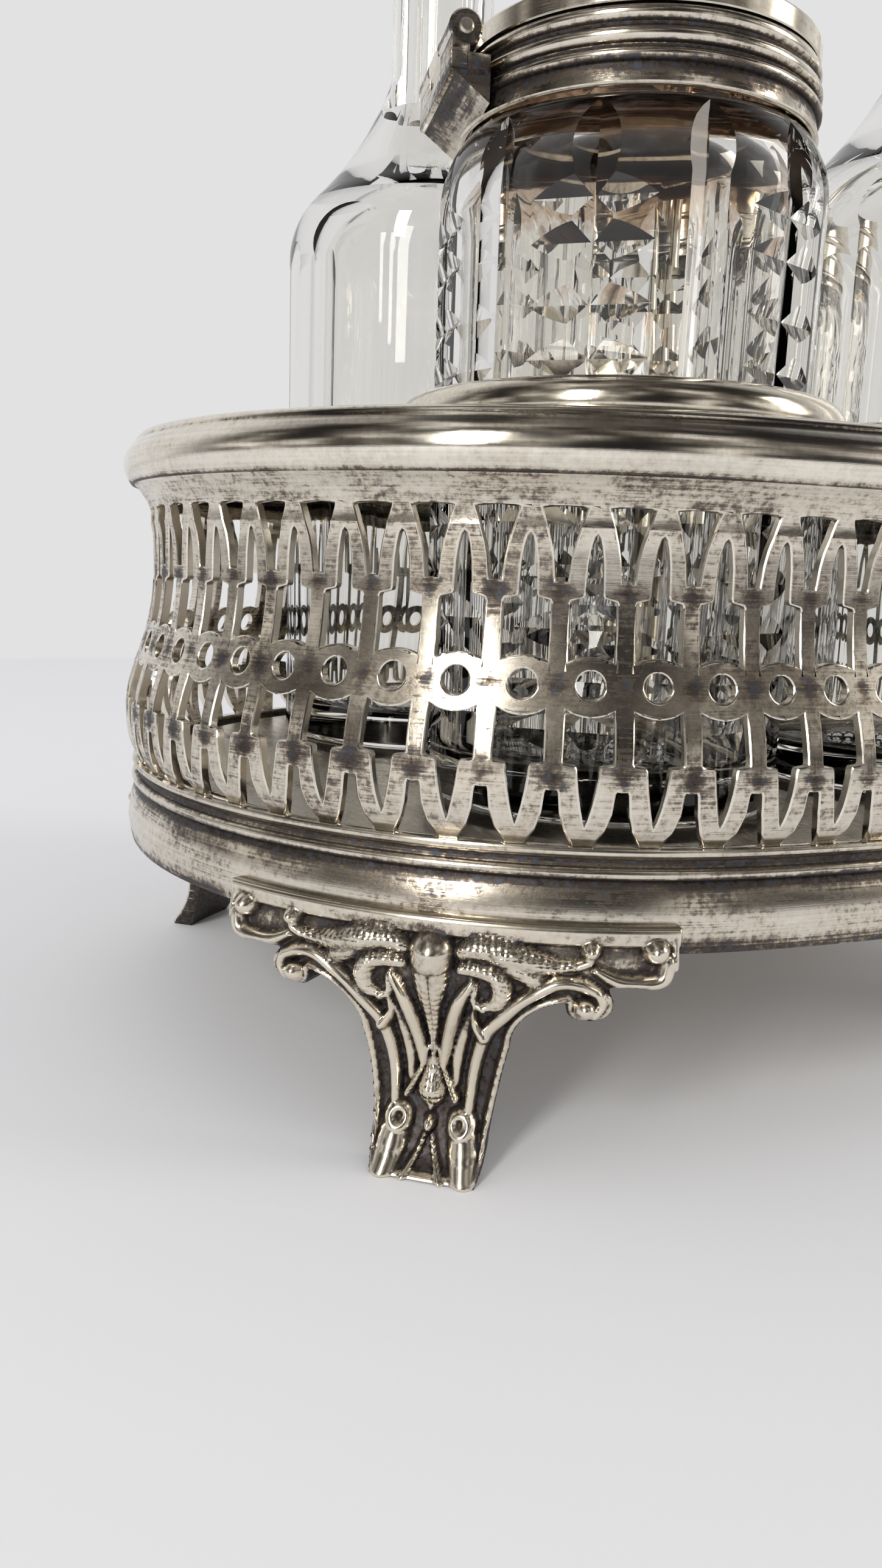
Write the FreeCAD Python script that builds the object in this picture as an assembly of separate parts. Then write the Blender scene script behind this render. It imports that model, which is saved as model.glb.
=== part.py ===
import FreeCAD, Part
import math
import os

from FreeCAD import Vector

os.makedirs("parts", exist_ok=True)

# Cruet set: an oval stand with a pierced gallery on four cast feet, a centre handle, and four
# cut-glass pieces in a square of rings: mustard pot, oil bottle, vinegar bottle and pepper caster.
# Millimetres. X runs along the oval, the mustard pot is at the front left (-X, -Y), Z is up and the
# feet stand on Z = 0. The oval is drawn with four arcs: two ends and two flatter sides.

# --- plan of the stand -------------------------------------------------------------------------
END_MARGIN = 28.3         # from a ring's edge to the oval through the round holes, along X
SIDE_MARGIN = 9.3         # the same, along Y
SIDE_FLATTENING = 2.0     # half width less the radius of each end arc
STATION_GAP = 0.3         # from each ring's edge to the middle lines of the stand

# --- heights -----------------------------------------------------------------------------------
BASE_BOTTOM = 29.4        # under-edge of the base moulding
BASE_HEIGHT = 12.6        # from there to the ledge that the pierced band rises from
BAND_HEIGHT = 38.4        # pierced part of the band
COVE_HEIGHT = 3.6         # plain cove above it, up to the rim roll
RIM_HEIGHT = 7.4
SHEET = 1.2               # thickness of the pierced sheet
PLATE = 1.2               # thickness of the top plate
FLOOR_THICK = 2.0
FLOOR_DROP = 1.0          # from the ledge down to the floor that the glass stands on

# --- pierced gallery ---------------------------------------------------------------------------
END_CELLS = 24            # round holes along each end arc
SIDE_CELLS = 9            # round holes along each side arc
HOLE_RISE = 18.7          # the row of round holes above the ledge
HOLE_RADIUS = 1.65
SHOULDER_FALL = 8.7       # lower shoulder below the holes, where the windows narrow
SHOULDER_RISE = 9.3       # upper shoulder above them
BULGE_OUT = 2.9           # the sheet swells this far at the lower shoulder
WAIST_IN = 1.7            # and draws in this far at the upper shoulder
FOOT_OUT = 1.0            # sheet offset where it meets the base
NECK_IN = 1.3             # sheet offset where the cove starts
COVE_OUT = 0.9            # sheet offset under the rim roll
SEAT_DEPTH = 1.8          # the sheet stands this deep in the base moulding

# --- feet --------------------------------------------------------------------------------------
FOOT_ANGLE = 49.0         # place on the end arc, from the X axis
FOOT_HALF_SPAN = 29.0     # half the width of the bracket
FOOT_LAP = 3.8            # the bracket covers this much of the moulding
TOE_OUT = 6.6             # the toe's tip, outside the oval
KNOB_RADIUS = 1.9

# --- rings, pots and bottles -------------------------------------------------------------------
BOTTLE_RADIUS = 26.3
POT_LESS = 0.5            # the mustard and pepper glasses are this much slimmer, in radius
RING_PLAY = 0.9           # from a bottle to the ring it stands in
RING_WALL = 3.0
RING_HEIGHT = 4.8
RING_SPIGOT = 2.6         # the ring's tube reaches this far below the top of the plate
GLASS_WALL = 3.6
NECK_STEP = 4.8           # from the pot's side in to its neck, inside the collar
POT_STRAIGHT = 78.0       # straight side of the pot, up from the floor
SHOULDER_HEIGHT = 9.5     # from there to the collar
COLLAR_HEIGHT = 8.5
MOUTH_DROP = 1.0          # the glass ends this far below the collar's top
COLLAR_WALL = 2.4         # from the glass neck to the collar's outside
CEMENT = 0.15             # gap between glass neck and collar
LID_GAP = 0.2
LID_THICK = 2.6
LID_INSET = 0.2           # the lid's rim lies this far inside the collar's
HINGE_ANGLE = 165.0       # where the hinge stands round the pot, from +X
HINGE_REACH = 2.3         # from the collar's outside to the pin
HINGE_WIDTH = 21.0
KNUCKLE_RADIUS = 2.1
PIN_RADIUS = 0.9
PIN_CLEARANCE = 0.05
KNUCKLE_GAP = 0.25
BOTTLE_STRAIGHT = 89.8    # cut panels of the bottle, up from the floor
BOTTLE_NECK = 9.0         # outer radius of the bottle's neck
BOTTLE_SLOPE = 25.2       # height of the sloping shoulder
NECK_LENGTH = 36.0
NECK_FLUTE = 6.0          # radius of the wheel that hollows the neck
LIP_RADIUS = 12.0
NECK_BORE = 5.6
PLUG_CLEARANCE = 0.3
PLUG_LENGTH = 18.0
STOPPER_HEIGHT = 27.0
STOPPER_RADIUS = 12.5
PANELS = 6                # wide cut panels round a bottle, flutes round a pot
PANEL_WIDTH = 19.0
FLUTE_DEPTH = 1.3
FLUTE_FLARE = 2.2         # half width of a flute for each millimetre of its depth
POT_TURN = 15.0           # direction of the mustard pot's first flute, from +X

# --- handle ------------------------------------------------------------------------------------
STEM_RADIUS = 4.0
STUD_RADIUS = 3.0
STUD_CLEARANCE = 0.2
COLLAR_DISC = 9.5         # radius of the little collar on the top plate
STEM_TAPER = 60.0         # from the deck to where the stem's taper straightens
HANDLE_RISE = 140.8       # from the deck to the loop's widest point
LOOP_HALF_WIDTH = 20.0
LOOP_DROP = 34.0          # from there down to the socket
LOOP_BAR = 3.0            # radius of the loop's round bar
NUT_FLATS = 11.0
NUT_HEIGHT = 4.0

# --- values that follow ------------------------------------------------------------------------
POT_RADIUS = BOTTLE_RADIUS - POT_LESS
POT_NECK = POT_RADIUS - NECK_STEP
COLLAR_RADIUS = POT_NECK + COLLAR_WALL
LID_RADIUS = COLLAR_RADIUS - LID_INSET
HINGE_OUT = COLLAR_RADIUS + HINGE_REACH
RING_BORE = BOTTLE_RADIUS + RING_PLAY
RING_RADIUS = RING_BORE + RING_WALL
STATION = RING_RADIUS + STATION_GAP
HALF_LENGTH = STATION + RING_RADIUS + END_MARGIN
HALF_WIDTH = STATION + RING_RADIUS + SIDE_MARGIN
END_RADIUS = HALF_WIDTH - SIDE_FLATTENING
ARC_CENTRE = HALF_LENGTH - END_RADIUS
SIDE_RADIUS = (ARC_CENTRE**2 + HALF_WIDTH**2 - END_RADIUS**2) / (2 * (HALF_WIDTH - END_RADIUS))
SIDE_CENTRE = SIDE_RADIUS - HALF_WIDTH
END_ANGLE = math.degrees(math.atan2(SIDE_CENTRE, ARC_CENTRE))
SIDE_ANGLE = 90.0 - END_ANGLE
BASE_TOP = BASE_BOTTOM + BASE_HEIGHT
GALLERY_TOP = BASE_TOP + BAND_HEIGHT
RIM_BOTTOM = GALLERY_TOP + COVE_HEIGHT
RIM_TOP = RIM_BOTTOM + RIM_HEIGHT
DECK_TOP = RIM_TOP - 0.2
DECK_BOTTOM = DECK_TOP - PLATE
FLOOR_TOP = BASE_TOP - FLOOR_DROP
FLOOR_BOTTOM = FLOOR_TOP - FLOOR_THICK
SHEET_BOTTOM = BASE_TOP - SEAT_DEPTH
HOLE_LEVEL = BASE_TOP + HOLE_RISE
LOWER_SHOULDER = HOLE_LEVEL - SHOULDER_FALL
UPPER_SHOULDER = HOLE_LEVEL + SHOULDER_RISE
FOOT_TOP = BASE_BOTTOM + FOOT_LAP
GLASS_BOTTOM = FLOOR_TOP
POT_SHOULDER = GLASS_BOTTOM + POT_STRAIGHT
COLLAR_BOTTOM = POT_SHOULDER + SHOULDER_HEIGHT
COLLAR_TOP = COLLAR_BOTTOM + COLLAR_HEIGHT
POT_MOUTH = COLLAR_TOP - MOUTH_DROP
LID_BOTTOM = COLLAR_TOP + LID_GAP
BOTTLE_CORNER = GLASS_BOTTOM + BOTTLE_STRAIGHT
NECK_START = BOTTLE_CORNER + BOTTLE_SLOPE
BOTTLE_LIP = NECK_START + NECK_LENGTH
LOOP_SHOULDER = DECK_TOP + HANDLE_RISE
UP = Vector(0, 0, 1)

STATIONS = {
    "front_left": (-STATION, -STATION),
    "front_right": (STATION, -STATION),
    "back_left": (-STATION, STATION),
    "back_right": (STATION, STATION),
}
# each arc of the oval: centre x, centre y, radius at the holes, middle direction, half angle
ARCS = {
    "left_end": (-ARC_CENTRE, 0.0, END_RADIUS, 180.0, END_ANGLE, END_CELLS),
    "right_end": (ARC_CENTRE, 0.0, END_RADIUS, 0.0, END_ANGLE, END_CELLS),
    "front": (0.0, SIDE_CENTRE, SIDE_RADIUS, 270.0, SIDE_ANGLE, SIDE_CELLS),
    "back": (0.0, -SIDE_CENTRE, SIDE_RADIUS, 90.0, SIDE_ANGLE, SIDE_CELLS),
}


# --- drawing helpers ---------------------------------------------------------------------------
def outline(steps):
    """Closed face in the XZ plane: (x, z) is a straight run, (mx, mz, x, z) an arc through m."""
    last = Vector(steps[0][0], 0, steps[0][1])
    first = last
    edges = []
    for step in steps[1:]:
        end = Vector(step[-2], 0, step[-1])
        if len(step) == 4:
            edges.append(Part.Arc(last, Vector(step[0], 0, step[1]), end).toShape())
        else:
            edges.append(Part.LineSegment(last, end).toShape())
        last = end
    if last.distanceToPoint(first) > 1e-6:
        edges.append(Part.LineSegment(last, first).toShape())
    return Part.Face(Part.Wire(edges))


def turned(steps, x=0.0, y=0.0):
    """A turned piece: the outline spun round a vertical axis at x, y."""
    solid = outline(steps).revolve(Vector(0, 0, 0), UP, 360)
    solid.translate(Vector(x, y, 0))
    return solid


def arc_sweep(steps, arc, start=None, sweep=None):
    """Sweep a section along one arc of the oval; x in the section is the offset from the holes."""
    cx, cy, radius, middle, half, _ = ARCS[arc]
    face = outline([shift(step, radius) for step in steps])
    first = middle - half if start is None else start
    face.rotate(Vector(0, 0, 0), UP, first)
    solid = face.revolve(Vector(0, 0, 0), UP, 2 * half if sweep is None else sweep)
    solid.translate(Vector(cx, cy, 0))
    return solid


def shift(step, dx):
    if len(step) == 4:
        return (step[0] + dx, step[1], step[2] + dx, step[3])
    return (step[0] + dx, step[1])


def moulding(steps):
    """A closed moulding right round the oval."""
    pieces = [arc_sweep(steps, arc) for arc in ARCS]
    return pieces[0].multiFuse(pieces[1:]).removeSplitter()


def oval_plate(offset, bottom, thickness):
    """Flat plate with the oval's outline, offset outwards."""
    edges = []
    for arc in ("right_end", "back", "left_end", "front"):
        cx, cy, radius, middle, half, _ = ARCS[arc]
        points = []
        for angle in (middle - half, middle, middle + half):
            a = math.radians(angle)
            r = radius + offset
            points.append(Vector(cx + r * math.cos(a), cy + r * math.sin(a), bottom))
        edges.append(Part.Arc(*points).toShape())
    return Part.Face(Part.Wire(edges)).extrude(Vector(0, 0, thickness))


def cylinder(radius, bottom, top, x=0.0, y=0.0):
    return Part.makeCylinder(radius, top - bottom, Vector(x, y, bottom), UP)


def ring_of(shape, count, x, y, first=0.0):
    """Copies of a shape turned round the vertical axis at x, y."""
    copies = []
    for k in range(count):
        copy = shape.copy()
        copy.rotate(Vector(x, y, 0), UP, first + 360.0 * k / count)
        copies.append(copy)
    return copies


# --- stand -------------------------------------------------------------------------------------
def base_moulding():
    """Rolled moulding: broad ovolo, groove, bead and the ledge the gallery stands in."""
    lip = FOOT_OUT + 0.1
    inner = FOOT_OUT - 4.0
    return moulding([
        (FOOT_OUT + 1.2, BASE_BOTTOM),
        (FOOT_OUT + 1.7, BASE_BOTTOM + 4.5, FOOT_OUT + 0.5, BASE_TOP - 4.3),
        (FOOT_OUT + 0.2, BASE_TOP - 3.9),
        (FOOT_OUT + 1.1, BASE_TOP - 3.1, FOOT_OUT + 0.2, BASE_TOP - 2.3),
        (FOOT_OUT + 0.1, BASE_TOP - 1.4),
        (FOOT_OUT + 0.8, BASE_TOP - 0.6),
        (FOOT_OUT + 0.8, BASE_TOP),
        (lip, BASE_TOP),
        (lip, SHEET_BOTTOM),
        (inner, SHEET_BOTTOM),
        (inner, FLOOR_BOTTOM),
        (inner - 5.0, FLOOR_BOTTOM),
        (inner - 5.0, FLOOR_BOTTOM - 1.6),
        (FOOT_OUT - 0.6, FLOOR_BOTTOM - 1.6),
        (FOOT_OUT - 0.6, BASE_BOTTOM),
    ])


def floor_plate():
    """Floor that the glass stands on, dropped into the base moulding's rebate."""
    plate = oval_plate(FOOT_OUT - 4.3, FLOOR_BOTTOM, FLOOR_THICK)
    return plate.cut(cylinder(STUD_RADIUS + STUD_CLEARANCE, FLOOR_BOTTOM - 1, FLOOR_TOP + 1))


def gallery_section():
    """The sheet's section: ogee from the base up, then the plain cove under the rim."""
    outer = [
        (FOOT_OUT, SHEET_BOTTOM),
        (FOOT_OUT, BASE_TOP),
        (BULGE_OUT, LOWER_SHOULDER),
        (-WAIST_IN, UPPER_SHOULDER),
        (-NECK_IN, GALLERY_TOP),
        (COVE_OUT, RIM_BOTTOM),
    ]
    inner = [(x - SHEET, z) for x, z in reversed(outer)]
    return outer + inner


def prism(points, radius):
    """A punch: the flat outline (across, z), reaching through the sheet at this radius."""
    corners = [Vector(radius - 8, across, z) for across, z in points]
    face = Part.Face(Part.makePolygon(corners + corners[:1]))
    return face.extrude(Vector(16, 0, 0))


def gallery_punches(pitch, radius):
    """Windows of one cell: hole, lancet above, bullet below, half a trumpet slot on each side."""
    bar = 0.17 * pitch
    wide = pitch / 2 - bar
    step = 0.46 * wide
    lancet = [
        (-wide, HOLE_LEVEL + 3.0), (0, HOLE_LEVEL + 3.6), (wide, HOLE_LEVEL + 3.0),
        (wide * 1.05, UPPER_SHOULDER), (step, UPPER_SHOULDER), (0.5, GALLERY_TOP - 2.8),
        (-0.5, GALLERY_TOP - 2.8), (-step, UPPER_SHOULDER), (-wide * 1.05, UPPER_SHOULDER),
    ]
    bullet = [
        (-wide, HOLE_LEVEL - 3.0), (-wide, LOWER_SHOULDER), (-step * 1.3, LOWER_SHOULDER),
        (0, BASE_TOP + 2.3), (step * 1.3, LOWER_SHOULDER), (wide, LOWER_SHOULDER),
        (wide, HOLE_LEVEL - 3.0), (0, HOLE_LEVEL - 3.6),
    ]
    punches = [prism(lancet, radius), prism(bullet, radius)]
    hole = Part.makeCylinder(HOLE_RADIUS, 16, Vector(radius - 8, 0, HOLE_LEVEL), Vector(1, 0, 0))
    punches.append(hole)
    half = pitch / 2 + 0.5
    for side in (-1, 1):
        edge = side * half
        upper = [(edge, UPPER_SHOULDER + 2.2), (edge, GALLERY_TOP),
                 (side * (pitch / 2 - 0.3 * pitch), GALLERY_TOP),
                 (side * (pitch / 2 - 0.13 * pitch), GALLERY_TOP - 3.4),
                 (side * (pitch / 2 - 0.07 * pitch), UPPER_SHOULDER + 2.2)]
        lower = [(edge, LOWER_SHOULDER - 3.0), (edge, BASE_TOP),
                 (side * (pitch / 2 - 0.32 * pitch), BASE_TOP),
                 (side * (pitch / 2 - 0.14 * pitch), BASE_TOP + 3.2),
                 (side * (pitch / 2 - 0.08 * pitch), LOWER_SHOULDER - 3.0)]
        punches += [prism(upper, radius), prism(lower, radius)]
    return punches


def gallery_strip(arc):
    """One length of pierced strip: a cell is punched once, and its faces repeat along the arc."""
    cx, cy, radius, middle, half, count = ARCS[arc]
    turn = 2.0 * half / count
    lean = math.radians(turn / 2)
    flat = radius * math.cos(lean)
    pitch = 2 * radius * math.sin(lean)
    sheet = outline([shift(step, flat) for step in gallery_section()])
    sheet.translate(Vector(0, -pitch, 0))
    far = 2 * radius
    side = far * math.tan(lean)
    wedge = Part.Face(Part.makePolygon([
        Vector(0, 0, 0), Vector(far, -side, 0), Vector(far, side, 0), Vector(0, 0, 0),
    ])).extrude(Vector(0, 0, RIM_TOP))
    cell = sheet.extrude(Vector(0, 2 * pitch, 0)).common(wedge).cut(gallery_punches(pitch, flat))
    ends = {-1: [], 1: []}
    body = []
    for f in cell.Faces:
        spans = [math.degrees(math.atan2(v.Y, v.X)) for v in f.Vertexes]
        side = 0
        for s in (-1, 1):
            if all(abs(a - s * turn / 2) < 1e-4 for a in spans):
                side = s
        if side:
            ends[side].append(f)
        else:
            body.append(f)
    faces = []
    for k in range(count):
        angle = middle - half + (k + 0.5) * turn
        group = list(body)
        if k == 0:
            group += ends[-1]
        if k == count - 1:
            group += ends[1]
        for f in group:
            copy = f.copy()
            copy.rotate(Vector(0, 0, 0), UP, angle)
            faces.append(copy)
    shell = Part.Shell(faces)
    shell.sewShape()
    strip = Part.Solid(shell)
    if strip.Volume < 0:
        strip.reverse()
    strip.translate(Vector(cx, cy, 0))
    return strip


def top_rim():
    """Half-round roll with a sharp under-edge, and an inner shelf for the top plate."""
    edge = COVE_OUT + 0.5
    return moulding([
        (edge, RIM_BOTTOM),
        (edge + 1.1, RIM_BOTTOM + 2.9, edge - 0.3, RIM_BOTTOM + 5.8),
        (edge - 0.8, RIM_TOP - 1.0),
        (edge - 1.2, RIM_TOP - 0.3, edge - 2.0, RIM_TOP),
        (-2.4, RIM_TOP),
        (-2.4, DECK_BOTTOM),
        (-6.0, DECK_BOTTOM),
        (-6.0, DECK_BOTTOM - 1.2),
        (-1.4, DECK_BOTTOM - 1.2),
        (-1.4, RIM_BOTTOM),
    ])


def top_plate():
    """Deck with four holes for the rings and one for the handle's stem."""
    plate = oval_plate(-2.7, DECK_BOTTOM, PLATE)
    holes = [cylinder(RING_BORE + 1.3, DECK_BOTTOM - 1, DECK_TOP + 1, x, y) for x, y in STATIONS.values()]
    holes.append(cylinder(STEM_RADIUS + 0.3, DECK_BOTTOM - 1, DECK_TOP + 1))
    return plate.cut(holes)


def station_ring(x, y):
    """Raised convex collar round one opening, with a spigot through the plate."""
    low = DECK_TOP - RING_SPIGOT
    return turned([
        (RING_BORE, low), (RING_BORE + 1.2, low), (RING_BORE + 1.2, DECK_TOP),
        (RING_RADIUS - 0.4, DECK_TOP), (RING_RADIUS, DECK_TOP + 1.2),
        (RING_RADIUS - 0.45, DECK_TOP + RING_HEIGHT * 0.8, RING_BORE + 1.2, DECK_TOP + RING_HEIGHT),
        (RING_BORE + 0.3, DECK_TOP + RING_HEIGHT * 0.9, RING_BORE, DECK_TOP + RING_HEIGHT * 0.7),
    ], x, y)


def foot_side():
    """Side view of a cast foot (offset, z): bracket on the moulding, shaft, out-turned toe."""
    return [
        (FOOT_OUT + 0.3, FOOT_TOP),
        (FOOT_OUT + 2.6, FOOT_TOP),
        (FOOT_OUT + 3.9, FOOT_TOP - 4.7, FOOT_OUT + 2.4, FOOT_TOP - 13.2),
        (FOOT_OUT + 1.0, 8.5, FOOT_OUT + 3.4, 2.4),
        (TOE_OUT, 0.9),
        (TOE_OUT, 0.0),
        (TOE_OUT - 4.2, 0.0),
        (FOOT_OUT - 1.4, 9.0, FOOT_OUT - 0.4, FOOT_TOP - 13.2),
        (FOOT_OUT - 0.6, BASE_BOTTOM),
    ]


def foot_front():
    """Front view of a cast foot (across, z): bracket with two volutes a side, then the shaft."""
    span = FOOT_HALF_SPAN
    top = FOOT_TOP
    right = [
        (span, top), (span, top - 3.8),
        (span - 1.0, top - 6.6, span - 4.4, top - 7.3),
        (span - 7.4, top - 6.6, span - 8.0, top - 7.6),
        (span - 7.6, top - 10.6, span - 10.6, top - 11.4),
        (span - 12.8, top - 10.8, span - 12.2, top - 8.8),
        (11.4, top - 10.8, 9.2, top - 17.2),
        (7.8, 10.0, 6.9, 4.4),
        (6.4, 0.0),
    ]
    left = []
    for k in range(len(right) - 1, 0, -1):
        step, before = right[k], right[k - 1]
        if len(step) == 4:
            left.append((-step[0], step[1], -before[-2], before[-1]))
        else:
            left.append((-before[-2], before[-1]))
    return right + [(-right[-1][-2], right[-1][-1])] + left


def foot(end, side):
    """Cast foot: the side view spun with the end arc, cut to the front view, bulb and knobs on."""
    cx, cy, radius, middle, _, _ = ARCS[end]
    body = outline([shift(step, radius) for step in foot_side()])
    wide = math.degrees(FOOT_HALF_SPAN / radius) + 1
    body.rotate(Vector(0, 0, 0), UP, -wide)
    body = body.revolve(Vector(0, 0, 0), UP, 2 * wide)
    front = outline(foot_front())
    front.rotate(Vector(0, 0, 0), UP, 90)
    front.translate(Vector(radius - 12, 0, 0))
    body = body.common(front.extrude(Vector(30, 0, 0)))
    out = radius + FOOT_OUT + 2.9
    level = FOOT_TOP - 4.2
    bulb = Part.makeSphere(2.7, Vector(out, 0, level))
    stem = Part.makeCone(2.6, 0.9, 14.0, Vector(out + 0.1, 0, level), Vector(-0.12, 0, -1))
    extras = [bulb, stem]
    for across in (-1, 1):
        scroll = Part.makeCylinder(1.9, 3.6, Vector(out - 1.8, across * 4.6, 6.4), Vector(1, 0, -0.35))
        volute = Part.makeSphere(KNOB_RADIUS, Vector(out - 1.2, 0, FOOT_TOP - 9.2))
        volute.rotate(Vector(0, 0, 0), UP, across * math.degrees((FOOT_HALF_SPAN - 9.9) / out))
        knob = Part.makeSphere(KNOB_RADIUS, Vector(out - 1.4, 0, BASE_BOTTOM))
        knob.rotate(Vector(0, 0, 0), UP, across * math.degrees((FOOT_HALF_SPAN - 2.6) / out))
        extras += [scroll, volute, knob]
    body = body.multiFuse(extras).removeSplitter()
    body.rotate(Vector(0, 0, 0), UP, middle + side * FOOT_ANGLE)
    body.translate(Vector(cx, cy, 0))
    return body


# --- handle ------------------------------------------------------------------------------------
def handle_stem():
    """Turned stem: stud through the floor, plain column to the plate, baluster above it."""
    plate = DECK_TOP
    loop_foot = LOOP_SHOULDER - LOOP_DROP - LOOP_BAR
    return turned([
        (0, FLOOR_BOTTOM - NUT_HEIGHT - 3.0), (STUD_RADIUS, FLOOR_BOTTOM - NUT_HEIGHT - 3.0),
        (STUD_RADIUS, FLOOR_TOP), (STEM_RADIUS + 1.5, FLOOR_TOP),
        (STEM_RADIUS + 1.5, FLOOR_TOP + 2), (STEM_RADIUS, FLOOR_TOP + 4),
        (STEM_RADIUS, plate + 5.0),
        (STEM_RADIUS + 3.6, plate + 9.5, STEM_RADIUS - 0.8, plate + 15.0),
        (STEM_RADIUS - 1.6, plate + 24.0, STEM_RADIUS - 1.2, plate + STEM_TAPER),
        (STEM_RADIUS - 1.0, loop_foot - 12.0),
        (STEM_RADIUS + 1.6, loop_foot - 8.0, STEM_RADIUS - 0.8, loop_foot - 4.0),
        (STEM_RADIUS - 0.4, loop_foot - 3.0),
        (2.0, loop_foot - 3.0), (2.0, loop_foot + 2.0), (0, loop_foot + 2.0),
    ])


def handle_collar():
    """Small dished collar that hides the hole in the top plate."""
    bore = STEM_RADIUS + STUD_CLEARANCE
    return turned([
        (bore, DECK_TOP), (COLLAR_DISC, DECK_TOP), (COLLAR_DISC, DECK_TOP + 0.8),
        (COLLAR_DISC - 2.6, DECK_TOP + 1.4, bore + 0.8, DECK_TOP + 3.6), (bore, DECK_TOP + 3.6),
    ])


def handle_nut():
    """Square nut that draws the stem down on the floor."""
    nut = Part.makeBox(NUT_FLATS, NUT_FLATS, NUT_HEIGHT,
                       Vector(-NUT_FLATS / 2, -NUT_FLATS / 2, FLOOR_BOTTOM - NUT_HEIGHT))
    bore = cylinder(STUD_RADIUS + STUD_CLEARANCE / 2, FLOOR_BOTTOM - NUT_HEIGHT - 1, FLOOR_BOTTOM + 1)
    return nut.cut(bore)


def handle_loop():
    """Cast loop of round bar: a half circle on two long arcs that close on a socket over the stem."""
    wide = LOOP_HALF_WIDTH
    low = LOOP_SHOULDER - LOOP_DROP
    top = LOOP_SHOULDER + wide
    reach = (wide**2 + LOOP_DROP**2) / (2 * wide)
    turn = math.degrees(math.asin(LOOP_DROP / reach))
    circle = Part.Face(Part.Wire([Part.Circle(Vector(wide, 0, LOOP_SHOULDER), UP, LOOP_BAR).toShape()]))
    across = Vector(0, 1, 0)
    arch = circle.revolve(Vector(0, 0, LOOP_SHOULDER), across, -180)
    pieces = [arch]
    for side in (1, -1):
        leg = circle.revolve(Vector(wide - reach, 0, LOOP_SHOULDER), across, turn)
        if side < 0:
            leg.rotate(Vector(0, 0, 0), UP, 180)
        pieces.append(leg)
    pieces.append(turned([
        (0, low - LOOP_BAR - 3.0), (STEM_RADIUS, low - LOOP_BAR - 3.0),
        (STEM_RADIUS + 1.4, low - LOOP_BAR, STEM_RADIUS - 0.5, low + 1.0),
        (1.5, low + LOOP_BAR + 1.5), (0, low + LOOP_BAR + 1.5),
    ]))
    pieces.append(turned([
        (0, top + LOOP_BAR - 1.0), (2.0, top + LOOP_BAR - 1.0),
        (2.8, top + LOOP_BAR + 1.2, 1.2, top + LOOP_BAR + 2.8), (0, top + LOOP_BAR + 2.8),
    ]))
    tenon = cylinder(2.0 + PIN_CLEARANCE, low - LOOP_BAR - 4.0, low - LOOP_BAR + 2.1)
    return pieces[0].multiFuse(pieces[1:]).cut(tenon).removeSplitter()


# --- glass and its mounts ----------------------------------------------------------------------
def pot_glass(x, y, first):
    """Cut pot: straight side with hollow flutes, rounded shoulder, neck for the collar."""
    inner = POT_RADIUS - GLASS_WALL
    body = turned([
        (0, GLASS_BOTTOM), (POT_RADIUS - 2.4, GLASS_BOTTOM), (POT_RADIUS, GLASS_BOTTOM + 2.0),
        (POT_RADIUS, POT_SHOULDER),
        (POT_RADIUS - 0.9, POT_SHOULDER + 6.0, POT_NECK + 1.7, COLLAR_BOTTOM),
        (POT_NECK, COLLAR_BOTTOM + 1.9), (POT_NECK, POT_MOUTH),
        (POT_NECK - 3.2, POT_MOUTH), (POT_NECK - 3.2, COLLAR_BOTTOM - 1.0),
        (inner, POT_SHOULDER), (inner, GLASS_BOTTOM + 9.0),
        (inner - 1.2, GLASS_BOTTOM + 6.6, inner - 4.0, GLASS_BOTTOM + 6.0), (0, GLASS_BOTTOM + 6.0),
    ], x, y)
    flute = mitre_flute(x, y, POT_RADIUS - FLUTE_DEPTH, GLASS_BOTTOM + 3.0, POT_SHOULDER + 1.0)
    return body.cut(ring_of(flute, PANELS, x, y, first))


def mitre_flute(x, y, apex, low, high):
    """Cutter for a vertical V-shaped flute that runs out in a point at its top."""
    def section(reach, z):
        far = reach + 4.0
        half = 4.0 * FLUTE_FLARE
        return Part.makePolygon([Vector(x + reach, y, z), Vector(x + far, y + half, z),
                                 Vector(x + far, y - half, z), Vector(x + reach, y, z)])
    straight = Part.Face(section(apex, low)).extrude(Vector(0, 0, high - low))
    point = Part.makeLoft([section(apex, high), section(apex + FLUTE_DEPTH, high + 7.0)], True)
    return straight.fuse(point)


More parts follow.
